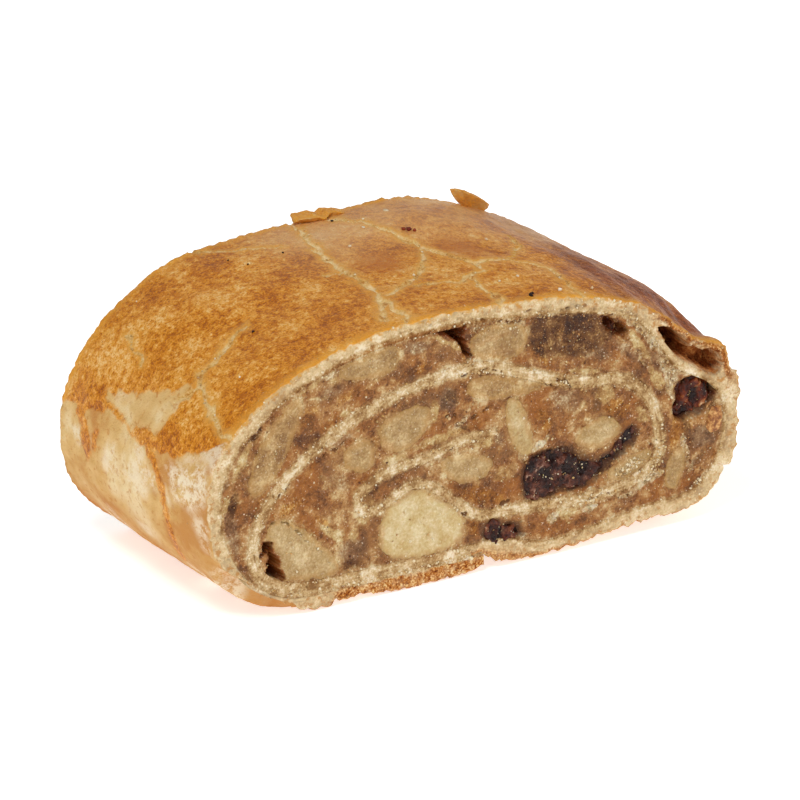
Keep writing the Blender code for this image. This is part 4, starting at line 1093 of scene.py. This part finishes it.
def hollowed(points):
    """How deep the front cut's hollows are at each place, and how much painted shade darkens it there."""
    wander = strayed(strayed(points, 0.3, 1.3, 72), 0.3, 0.55, 74) + (MIDDLE, 0)
    deep, gloom = np.zeros(len(points)), np.zeros(len(points))
    for outline, most in FRONT_HOLLOWS:
        away = to_outline(wander, outline)
        deep = np.maximum(deep, most * ease(0.5 - away / 0.2))
        gloom = np.maximum(gloom, min(1.0, most / 4.0) * ease(1.3 - away / 0.3))
    return deep, gloom


def filling_depth(points, clear, front):
    """How far below a cut the filling's surface lies."""
    spots = flat(*points.T)
    seed = 80 if front else 90
    lumps = 0.16 * noise(spots, 3.0, seed, 2) + 0.15 * noise(spots, 1.2, seed + 3)
    lumps = lumps + 0.09 * noise(spots, 0.6, seed + 4)
    flakes = zone(points, "crumbly", front) * (abs(noise(spots, 1.0, seed + 5, 2)) * 0.9 - 0.25)
    apple, raisin = near_fruit(points, ("apple", "nut"), front), near_fruit(points, "raisin", front)
    sunk = 0.30 * zone(points, "dark", front) + 1.5 * zone(points, "red", front)
    sunk = sunk + 0.12 * zone(points, "grey", front)
    beside = ease(clear / 0.8) * ease(apple / 0.9)
    depth = grained(points, front) + beside * (0.06 + lumps + flakes + sunk)
    depth = depth + 0.35 * ease((0.8 - raisin) / 1.0)
    depth = depth + 0.7 * ease((-0.05 - clear) / 0.5) + 0.8 * ease((-0.02 - apple) / 0.5)
    depth = depth + 1.0 * ease((-0.3 - raisin) / 0.5) + cracked(points, front)[0]
    return depth + hollowed(points)[0] * (clear > -0.6) if front else depth


def apple_mash():
    """Cooked apple mash: wet and translucent, so light sinks in and the lumps shine."""
    made, tree, shader = material("cooked_apple_mash")
    colour, _, shreds, grain = cut_colour(tree, add(tree, "TexCoord").outputs["Object"])
    wet = add(tree, "MapRange", {"Value": shreds, "From Min": 0.35, "From Max": 0.65, "To Min": 0.24,
                                 "To Max": 0.55})
    tree.links.new(wet.outputs[0], shader.inputs["Roughness"])
    relief = add(tree, "Math", {0: shreds, 1: 2.0, 2: grain}, operation="MULTIPLY_ADD").outputs[0]
    dress(tree, shader, colour, relief, 0.9, 0.0003)
    settle(shader, {"Subsurface Weight": 0.18, "Subsurface Radius": (1.0, 0.5, 0.22),
                    "Subsurface Scale": 0.001, "IOR": 1.38, "Specular IOR Level": 0.35})
    return made


columns = np.arange(-56.0, 56.0, FILL_STEP)
levels = np.arange(0.0, 50.0, FILL_STEP)
grid = np.stack([a.ravel() for a in np.meshgrid(columns, levels, indexing="ij")], 1)
clear, where, side = beside_sheet(grid)
held = (clear > -TUCKED) & ~((where < SEAM_COVERED_AT + 1.5) & (side < 0)) & (where > 0.6)
held = held.reshape(len(columns), len(levels))
cells = held[:-1, :-1] & held[1:, :-1] & held[1:, 1:] & held[:-1, 1:]
number = np.arange(held.size).reshape(held.shape)
a, b, c, d = (number[p, q][cells] for p, q in (
    (slice(None, -1), slice(None, -1)), (slice(1, None), slice(None, -1)),
    (slice(1, None), slice(1, None)), (slice(None, -1), slice(1, None))))
quads = np.stack([a, b, c, d], 1)
used, quads = np.unique(quads, return_inverse=True)
quads = quads.reshape(-1, 4)
spots, spot_clear = grid[used], clear[used]
edges = np.concatenate([quads[:, [k, (k + 1) % 4]] for k in range(4)])
codes = {(p, q) for p, q in edges.tolist()}
walls = sorted((p, q) for p, q in codes if (q, p) not in codes)
count = len(used)
sides = [[q, p, p + count, q + count] for p, q in walls]
faces = quads.tolist() + (quads[:, ::-1] + count).tolist() + sides
depths = [filling_depth(spots, spot_clear, True), filling_depth(spots, spot_clear, False)]
y = np.r_[depths[0] - CUT, CUT - depths[1]]
both = np.tile(spots, (2, 1))
mash_measures = cut_measures(both[:, 0], np.repeat([-CUT, CUT], count), both[:, 1])
mash_measures["sheet"] = np.tile(spot_clear, 2)
# Painted shade in and round the front hollows.
mash_measures["deep"] = np.r_[0.95 * hollowed(spots)[1], np.zeros(count)]
mash_looks = apple_mash()
points = np.stack([both[:, 0], y, both[:, 1]], 1)
piece("filling_mash", points, faces, mash_looks, ("filling",), mash_measures)
# Crumbs lie on the mash only where it has sunk less than this.
DEEPEST_CRUMBS = 3.0
open_mash = (mash_measures["sheet"] > 0.1) & (mash_measures["apple"] > 0.1) & (mash_measures["raisin"] > 0.1)
remember(points, facing(points), mash_measures, open_mash & (np.concatenate(depths) < DEEPEST_CRUMBS))


# ---------------------------------------------------------------- the apple
# Diced apple, cooked soft but whole: cream to yellow flesh, cut clean by the knife and wet,
# with a glassy rim where the sauce soaked in.

# Below its top a piece of fruit narrows in rings: how deep each is, and how wide.
BELOW = ((0.3, 0.96), (0.55, 0.90), (0.8, 0.76), (0.94, 0.55), (1.0, 0.3))


def spokes(outline, count):
    """Even places round an outline, from its middle."""
    closed = np.vstack([outline, outline[:1]])
    total = np.r_[0, np.cumsum(np.hypot(*np.diff(closed, axis=0).T))]
    along = np.arange(count) / count * total[-1]
    return np.stack([np.interp(along, total, closed[:, k]) for k in (0, 1)], 1) - outline.mean(0)


def lump(node, surface, fine):
    """A piece of fruit as places and faces: surface says how far below the cut its top lies."""
    lowest, highest = (np.array(corner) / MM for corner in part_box(node))
    depth, cut = highest[1] - lowest[1], -CUT if "front" in node else CUT
    outline = OUTLINES[node]
    way = 1 if cut < 0 else -1
    middle = outline.mean(0)
    closed = np.vstack([outline, outline[:1]])
    around = max(30, round(np.hypot(*np.diff(closed, axis=0).T).sum() / fine))
    arms = spokes(outline, around)
    arms *= 1 + (SPREAD.get(node, USUAL_SPREAD) + 1.0) / np.hypot(*arms.T)[:, None]
    rings = max(6, round(np.hypot(*arms.T).mean() / fine))
    spots = np.concatenate([middle[None]] + [middle + arms * k / rings for k in range(1, rings + 1)])
    gap = to_outline(strayed(spots, 0.4, 1.6, 62), outline) - SPREAD.get(node, USUAL_SPREAD)
    top = surface(spots, gap)
    places = [np.stack([spots[:, 0], cut + way * top, spots[:, 1]], 1)]
    for share, grown in BELOW:
        ring = middle + arms * grown
        level = np.full(around, cut + way * max(depth * share, 1.0 + share))
        places.append(np.stack([ring[:, 0], level, ring[:, 1]], 1))
    places.append(np.array([[middle[0], cut + way * depth * 1.01, middle[1]]]))
    places = np.concatenate(places)
    first, after = np.arange(around), np.roll(np.arange(around), -1)
    faces = [[0, 1 + b, 1 + a] for a, b in zip(first, after)]
    loops = rings + len(BELOW) - 1
    for k in range(loops):
        base = 1 + k * around
        faces += np.stack([base + first, base + after, base + around + after, base + around + first],
                          1).tolist()
    last = 1 + loops * around
    faces += [[last + a, last + b, last + around] for a, b in zip(first.tolist(), after.tolist())]
    if way < 0:
        faces = [face[::-1] for face in faces]
    gap = np.r_[gap, np.full(len(places) - len(spots), 1.0)]
    return places, faces, gap


def apple_flesh():
    """Cooked apple flesh: wet, translucent, fine-grained; the rim is glassy and browner."""
    made, tree, shader = material("cooked_apple_flesh")
    place = add(tree, "TexCoord").outputs["Object"]
    colour, _, _, grain = cut_colour(tree, place)
    cells = add(tree, "TexNoise", {"Vector": place, "Scale": 1000 / 0.5, "Detail": 3.0, "Roughness": 0.6})
    cloud = add(tree, "TexNoise", {"Vector": place, "Scale": 1000 / 3.0, "Detail": 3.0, "Roughness": 0.55})
    soft = add(tree, "Math", {0: cells.outputs[0], 1: 0.45, 2: -0.025}, operation="MULTIPLY_ADD").outputs[0]
    soft = add(tree, "Math", {0: cloud.outputs[0], 1: 0.6, 2: soft}, operation="MULTIPLY_ADD").outputs[0]
    flesh = add(tree, "ValToRGB", {0: soft}, (
        (0.38, "#bb9a60"), (0.46, "#c6ac76"), (0.54, "#cfb98a"), (0.66, "#dfcfa8"))).outputs[0]
    cooked = add(tree, "ValToRGB", {0: soft}, (
        (0.38, "#7a4e22"), (0.46, "#946b36"), (0.54, "#aa824c"), (0.64, "#c9ab78"))).outputs[0]
    warm = add(tree, "Attribute", attribute_name="warm").outputs["Fac"]
    flesh = add(tree, "Mix", {0: warm, 6: flesh, 7: cooked}, data_type="RGBA").outputs[2]
    glints = add(tree, "MapRange", {"Value": grain, "From Min": 0.58, "From Max": 0.72,
                                    "To Max": 0.35}).outputs[0]
    flesh = add(tree, "Mix", {0: glints, 6: flesh, 7: linear("#f3e8cc")}, data_type="RGBA").outputs[2]
    gap = add(tree, "Attribute", attribute_name="apple").outputs["Fac"]
    gap = add(tree, "Math", {0: cloud.outputs[0], 1: 3.4, 2: gap}, operation="MULTIPLY_ADD").outputs[0]
    glassy = add(tree, "MapRange", {"Value": gap, "From Min": 0.3, "From Max": 1.9, "To Max": 0.65},
                 interpolation_type="SMOOTHSTEP").outputs[0]
    flesh = add(tree, "Mix", {0: glassy, 6: flesh, 7: linear("#b5873f")}, data_type="RGBA").outputs[2]
    whole = add(tree, "MapRange", {"Value": gap, "From Min": 2.3, "From Max": 0.7},
                interpolation_type="SMOOTHSTEP").outputs[0]
    jelly = add(tree, "Attribute", attribute_name="amber").outputs["Fac"]
    jelly = add(tree, "MapRange", {"Value": jelly, "To Min": 1.0, "To Max": 0.3}).outputs[0]
    whole = add(tree, "Math", {0: whole, 1: jelly}, operation="MULTIPLY").outputs[0]
    # In and round the front hollows the flesh is painted brown: painted shade.
    deep = add(tree, "Attribute", attribute_name="deep").outputs["Fac"]
    flesh = add(tree, "Mix", {0: deep, 6: flesh, 7: linear("#8a4814")}, data_type="RGBA").outputs[2]
    colour = add(tree, "Mix", {0: whole, 6: colour, 7: flesh}, data_type="RGBA").outputs[2]
    dress(tree, shader, colour, cells.outputs[0], 0.5, 0.00015)
    settle(shader, {"Roughness": 0.38, "Subsurface Weight": 0.35, "Subsurface Radius": (1.0, 0.6, 0.25),
                    "Subsurface Scale": 0.0014, "IOR": 1.36})
    return made


def fruit_measures(places, gap, label):
    """What a piece of fruit is beside, as every cut has it, with its own outline as its edge."""
    found = cut_measures(*places.T)
    found["sheet"] = beside_sheet(places[:, (0, 2)])[0]
    found[label] = gap
    return found


# How cooked each piece at the front looks, from 0, cream, to 1, brown, and all those at the back.
COOKED = {"01": 0.0, "02": 0.5, "03": 0.9, "04": 0.75, "05": 0.65, "06": 0.75, "07": 0.6, "08": 0.3,
          "09": 0.5, "10": 0.6, "11": 0.65, "12": 0.75, "13": 0.9}
COOKED_BEHIND = 0.35
apple_looks = apple_flesh()
for index, node in enumerate(node for node in fruit_nodes if node.startswith("apple")):
    at_front = "front" in node

    def surface(spots, gap):
        """Nearly level flesh that slips under the mash at its rim."""
        own = 0.06 * noise(flat(*spots.T), 1.6, 100 + 7 * index, 2) * ease(-gap / 0.6) - 0.05
        top = grained(spots, at_front) + own + 0.8 * ease(gap / 0.55) + cracked(spots, at_front)[0]
        return top + hollowed(spots)[0] if at_front else top

    places, faces, gap = lump(node, surface, 0.25)
    flesh_measures = fruit_measures(places, gap, "apple")
    flesh_measures["warm"] = np.full(len(places), COOKED[node[-2:]] if at_front else COOKED_BEHIND)
    if at_front:
        # Painted shade in and round the front hollows.
        flesh_measures["deep"] = 0.95 * hollowed(places[:, (0, 2)])[1]
    piece("flesh_" + node, places, faces, apple_looks, (node,), flesh_measures)
    remember(places, facing(places), flesh_measures, (gap < -0.2) & (abs(places[:, 1]) > CUT - 1.0))


# ---------------------------------------------------------------- the raisins
# Raisins swollen in the filling and cut through: near-black, glossy, deeply creased skins
# with sticky brown flesh.

def raisin_skin():
    """Swollen raisin: dark brown, wet and shiny, some redder; painted shade in creases, painted highlights.
    """
    made, tree, shader = material("swollen_raisin")
    place = add(tree, "TexCoord").outputs["Object"]
    patches = add(tree, "TexNoise", {"Vector": place, "Scale": 1000 / 2.2, "Detail": 4.0,
                                     "Roughness": 0.62})
    # The palest stop of each ramp is a painted highlight on the raised patches.
    skin = add(tree, "ValToRGB", {0: patches.outputs[0]}, (
        (0.38, "#1c0804"), (0.47, "#32130a"), (0.55, "#4c2415"), (0.63, "#72483a"),
        (0.72, "#c8b0a0"))).outputs[0]
    rusty = add(tree, "ValToRGB", {0: patches.outputs[0]}, (
        (0.38, "#240902"), (0.47, "#481706"), (0.55, "#6a2a0e"), (0.62, "#985426"),
        (0.70, "#dcb080"))).outputs[0]
    wet = add(tree, "Attribute", attribute_name="rusty").outputs["Fac"]
    skin = add(tree, "Mix", {0: wet, 6: skin, 7: rusty}, data_type="RGBA").outputs[2]
    # In the creases the skin is painted near-black: painted shade in the folds.
    crease = add(tree, "Attribute", attribute_name="crease").outputs["Fac"]
    skin = add(tree, "Mix", {0: crease, 6: skin, 7: linear("#1e0804")}, data_type="RGBA").outputs[2]
    dress(tree, shader, skin, patches.outputs[0], 1.0, 0.0009)
    settle(shader, {"Roughness": 0.26, "Specular IOR Level": 0.26, "Subsurface Weight": 0.08,
                    "Subsurface Radius": (1.0, 0.3, 0.15), "Subsurface Scale": 0.001})
    return made


def folds(points, seed):
    """The sharp creases of dried skin, from 0 in a crease to about 1 between creases."""
    spots = flat(*points.T) * (1.0, 1.0, 0.7)
    return 1 - 1.7 * abs(noise(spots, 3.0, seed + 2)) - 0.7 * abs(noise(spots, 1.2, seed + 3))


# How much further below the cut some raisins sit, and how rusty their flesh is.
SUNK = {"raisin_front_05": 0.6, "raisin_front_02": 0.1}
RUSTY = {"raisin_front_05": 1.0, "raisin_back_03": 0.8, "raisin_front_04": 0.5}
USUAL_RUST = 0.15
raisin_looks = raisin_skin()
for index, node in enumerate(node for node in fruit_nodes if node.startswith("raisin")):
    def wrinkled(spots, gap):
        """Creased skin that bulges in folds and dips under the mash at its rim."""
        rounded = 0.9 * ease((gap + 1.0) / 1.8)
        level = 0.6 + SUNK.get(node, 0.0) + rounded - 0.9 * folds(spots, 300 + 7 * index)
        return level + 0.08 * noise(flat(*spots.T), 0.5, 77)

    places, faces, gap = lump(node, wrinkled, 0.2)
    # Where the skin gets painted shade in its folds.
    crease = ease((0.5 - folds(places[:, (0, 2)], 300 + 7 * index)) / 0.5)
    rusty = np.full(len(places), RUSTY.get(node, USUAL_RUST))
    piece("skin_" + node, places, faces, raisin_looks, (node,),
          {"crease": crease, "rusty": rusty})
    sticky = {"sheet": np.full(len(places), FAR), "apple": np.full(len(places), -1.0),
              "pale": ease(noise(flat(places[:, 0], places[:, 2]), 2.4, 79) * 2)}
    remember(places, facing(places), sticky, (gap < -0.1) & (abs(places[:, 1]) > CUT - 4.0))


# ---------------------------------------------------------------- the nut
# A crumb of toasted walnut at the right of the front cut: a rough, tan, porous chip, rolled up
# in the filling and left standing a little proud of the cut.

def toasted_nut():
    """Toasted walnut: dry and pitted, tan with browner hollows."""
    made, tree, shader = material("toasted_walnut")
    place = add(tree, "TexCoord").outputs["Object"]
    pits = add(tree, "TexNoise", {"Vector": place, "Scale": 1000 / 0.8, "Detail": 4.0, "Roughness": 0.6})
    tan = add(tree, "ValToRGB", {0: pits.outputs[0]}, (
        (0.38, "#7e451c"), (0.50, "#aa6d32"), (0.64, "#d8a664"))).outputs[0]
    dress(tree, shader, tan, pits.outputs[0], 0.8, 0.0003)
    settle(shader, {"Roughness": 0.6, "Subsurface Weight": 0.1, "Subsurface Scale": 0.001})
    return made


def chipped(spots, gap):
    """A rough chip that stands a little proud of the cut."""
    return 1.0 * ease((gap + 0.5) / 1.0) - 0.55 - 0.25 * folds(spots, 401)


places, faces, gap = lump("nut_front_01", chipped, 0.15)
piece("nut_chip", places, faces, toasted_nut(), ("nut_front_01",))


# ---------------------------------------------------------------- the crumbs
# What the knife broke off and left on the cuts and along the cracks: dry crumbs of dough,
# grains of apple pulp, and specks of nut, cinnamon and raisin, half sunk in what they lie on.

# Nothing strewn on the strudel stands higher than this.
HIGHEST = 51.8


def strewn(count, likely, least, most, stretch, seed):
    """Bits of one kind strewn where they are likely: their places, faces and shades."""
    draw = np.random.default_rng(seed)
    chosen = np.arange(count)
    if likely is not None:
        chosen = draw.choice(len(likely), count, p=likely / likely.sum())
    form = bmesh.new()
    bmesh.ops.create_icosphere(form, subdivisions=1, radius=1.0)
    ball = np.array([vertex.co[:] for vertex in form.verts])
    corners = np.array([[vertex.index for vertex in face.verts] for face in form.faces])
    form.free()
    size = least + (most - least) * draw.random(count) ** 3
    axes = size[:, None] * (1 + stretch * draw.random((count, 3)) ** 2) / (1 + 0.3 * stretch)
    shapes = ball[None] * axes[:, None] * (1 + 0.2 * draw.normal(size=(count, len(ball), 1)))
    turns = np.linalg.qr(draw.normal(size=(count, 3, 3)))[0]
    shapes = np.einsum("bij,bnj->bni", turns, shapes)
    middle = SPOTS[chosen] + WAYS[chosen] * size[:, None] * 0.35
    faces = (corners[None] + len(ball) * np.arange(count)[:, None, None]).reshape(-1, 3)
    shapes = shapes + middle[:, None]
    shapes[..., 2] = np.clip(shapes[..., 2], 0.0, HIGHEST)
    return shapes.reshape(-1, 3), faces.tolist(), np.repeat(draw.random(count), len(ball))


def bits_looks(name, stops, roughness, depth):
    """Small bits, each its own shade: dry and matt, or wet so that light sinks in."""
    made, tree, shader = material(name)
    place = add(tree, "TexCoord").outputs["Object"]
    grain = add(tree, "TexNoise", {"Vector": place, "Scale": 1000 / 0.4, "Detail": 2.0}).outputs[0]
    shade = add(tree, "Attribute", attribute_name="shade").outputs["Fac"]
    shade = add(tree, "Math", {0: grain, 1: 0.6, 2: shade}, operation="MULTIPLY_ADD").outputs[0]
    colour = add(tree, "ValToRGB", {0: shade}, stops).outputs[0]
    dress(tree, shader, colour, grain, 0.4, 0.0002)
    settle(shader, {"Roughness": roughness, "Specular IOR Level": 0.35, "Subsurface Weight": depth,
                    "Subsurface Radius": (1.0, 0.6, 0.3), "Subsurface Scale": 0.0008})
    return made


SPOTS = np.concatenate([spots for spots, ways, kept in ON_CUTS])
WAYS = np.concatenate([ways for spots, ways, kept in ON_CUTS])
THERE = {label: np.concatenate([kept[label] for spots, ways, kept in ON_CUTS]) for label in ON_CUTS[0][2]}
on_cut = abs(WAYS[:, 1]) > 0.5
in_front = 1.0 + 0.6 * (SPOTS[:, 1] < 0)
edges = ease(1 - abs(THERE["sheet"] + 0.1) / 0.7)
dry = 0.02 + 1.4 * THERE["crumbly"] + 0.5 * edges + 1.2 * THERE["crack"]
dry = dry + 1.0 * ease(1 - THERE["rim"] / 0.9) * (THERE["sheet"] < -1.2)
skins = 0.9 * ease(1.6 - THERE["split"]) + 0.25 * ease((abs(SPOTS[:, 1]) - 23.0) / 1.5) + 0.002
dry = np.where(on_cut, dry * in_front, skins)
fruity = 1 - 0.8 * (THERE["apple"] < -0.2)
pulpy = 0.4 + 0.6 * THERE["pale"] + 0.3 * THERE["grey"]
wet = np.where(on_cut, in_front * fruity * pulpy * (THERE["sheet"] > 0.3), 0.0)
specks = 0.1 + 1.0 * THERE["dark"] + 1.4 * THERE["red"]
specks = np.where(on_cut & (THERE["apple"] > 0.3), in_front * specks * (THERE["sheet"] > 0.3), 0.0)
for name, slot, count, likely, least, most, stretch, seed, stops, roughness, depth in (
        ("dough_crumbs", "dough", 3600, dry, 0.06, 0.26, 0.8, 501,
         ((0.3, "#bd9459"), (0.8, "#d4b684"), (1.4, "#ecdcba")), 0.8, 0.1),
        ("pulp_grains", "apple", 1800, wet, 0.04, 0.17, 2.0, 502,
         ((0.3, "#9d6f3e"), (0.9, "#bd9762"), (1.4, "#ddc698")), 0.3, 0.3),
        ("nut_specks", "nut", 900, specks, 0.06, 0.20, 1.0, 503,
         ((0.3, "#4a2412"), (0.9, "#7a4826"), (1.4, "#b98650")), 0.35, 0.1)):
    places, faces, shade = strewn(count, np.maximum(likely, 0), least, most, stretch, seed)
    looks = bits_looks(name.rstrip("s"), stops, roughness, depth)
    piece(name, places, faces, looks, (), {"shade": shade})

# Single bits on the crust: how far along the sheet and the roll, how big, and their colours.
for name, spots, stops, slot in (
        ("charred_specks", ((144.5, -23.5, 0.42), (144.9, -23.1, 0.3), (130.2, 24.6, 0.4),
                            (131.0, 20.5, 0.3), (116.5, 12.5, 0.25), (98.8, -7.5, 0.28),
                            (107.8, 16.0, 0.24), (109.5, 12.0, 0.22)),
         ((0.3, "#120804"), (1.2, "#2c140a")), "dough"),
        ("dried_filling", ((140.2, 9.0, 0.62), (139.5, 9.4, 0.5), (141.0, 8.7, 0.4)),
         ((0.3, "#6e200a"), (1.2, "#b4511e")), "filling"),
        ("dough_flecks", ((140.8, 18.5, 0.55), (133.5, 14.0, 0.35), (128.0, 9.0, 0.3), (152.0, 4.0, 0.3),
                          (147.0, -15.0, 0.34), (150.5, -22.5, 0.4), (158.5, -21.0, 0.4),
                          (90.0, -16.0, 0.25)),
         ((0.3, "#d8b884"), (1.2, "#f3e6cb")), "dough")):
    chosen = [np.hypot(*(SKIN_AT - (along, across)).T).argmin() for along, across, size in spots]
    SPOTS, WAYS = SKIN_PLACES[chosen], SKIN_WAYS[chosen]
    places, faces, shade = strewn(len(chosen), None, 1.0, 1.0, 0.6, 77)
    sizes = np.repeat([size for along, across, size in spots], len(places) // len(spots))[:, None]
    middles = np.repeat(SPOTS, len(places) // len(spots), 0)
    places = middles + (places - middles) * sizes
    piece(name, places, faces, bits_looks(name.rstrip("s"), stops, 0.7, 0.1), (), {"shade": shade})


# ---------------------------------------------------------------- the loose flakes
# Two thin leaves of glazed crust that stand off the roll at its back edge: baked hard, golden
# on top and ragged round the rim.

FLAKE_SPOKES, TOP_RINGS, UNDER_RINGS = 90, 16, 12


def flake(name, outline, ridge, thick, seed):
    """A loose flake of glazed crust: its outline from above and the height it reaches along x."""
    outline = np.array(outline)
    middle, arms = outline.mean(0), spokes(outline, FLAKE_SPOKES)
    shares = np.r_[np.linspace(0.04, 1.0, TOP_RINGS), np.linspace(0.97, 0.04, UNDER_RINGS)]
    rings = []
    for k, share in enumerate(shares):
        spots = middle + arms * share
        spots = spots + 0.28 * share ** 4 * np.stack([noise(flat(*spots.T), 0.9, seed, 2),
                                                      noise(flat(*spots.T), 0.9, seed + 1, 2)], 1)
        height = np.interp(spots[:, 0], *zip(*ridge)) + 0.12 * noise(flat(*spots.T), 1.1, seed + 2, 2)
        below = thick * (1 - share ** 3) * (k >= TOP_RINGS) + 0.12 * share ** 6
        rings.append(np.stack([spots[:, 0], spots[:, 1], height - below], 1))
    places = np.concatenate(rings)
    first, after = np.arange(FLAKE_SPOKES), np.roll(np.arange(FLAKE_SPOKES), -1)
    faces = [list(range(FLAKE_SPOKES)), list(range(len(places) - 1, len(places) - FLAKE_SPOKES - 1, -1))]
    for k in range(len(shares) - 1):
        ring, beyond = k * FLAKE_SPOKES, (k + 1) * FLAKE_SPOKES
        faces += np.stack([ring + first, beyond + first, beyond + after, ring + after], 1).tolist()
    top = np.repeat(np.arange(len(shares)) < TOP_RINGS, FLAKE_SPOKES)
    edge = np.repeat(shares, FLAKE_SPOKES)
    measures = {"glaze": np.where(top, 3.0 * (1 - edge), 0.1), "split": np.full(len(places), FAR_OFF),
                "brink": np.where(top, 2.0 * (1 - edge), 0.0)}
    piece(name, places, faces, crust_looks, (), measures)


flake("crown_flake", ((-7.4, 23.0), (-6.6, 25.6), (-4.6, 26.1), (-2.2, 25.6), (-0.4, 26.0), (1.0, 25.3),
                      (2.6, 25.7), (3.8, 24.4), (2.8, 22.4), (0.6, 22.9), (-1.8, 21.6), (-4.6, 22.2)),
      ((-7.4, 51.0), (-6.2, 51.65), (-3.0, 51.65), (-1.6, 51.2), (-0.4, 51.65), (1.6, 51.4), (3.8, 50.8)),
      1.6, 611)
flake("shoulder_flake", ((25.8, 24.8), (27.4, 25.3), (30.0, 25.5), (32.5, 25.2), (34.0, 24.4),
                         (33.0, 23.2), (30.5, 23.0), (28.0, 24.0)),
      ((25.8, 50.2), (27.2, 49.9), (29.2, 49.1), (31.5, 47.7), (34.0, 45.8)), 3.2, 621)
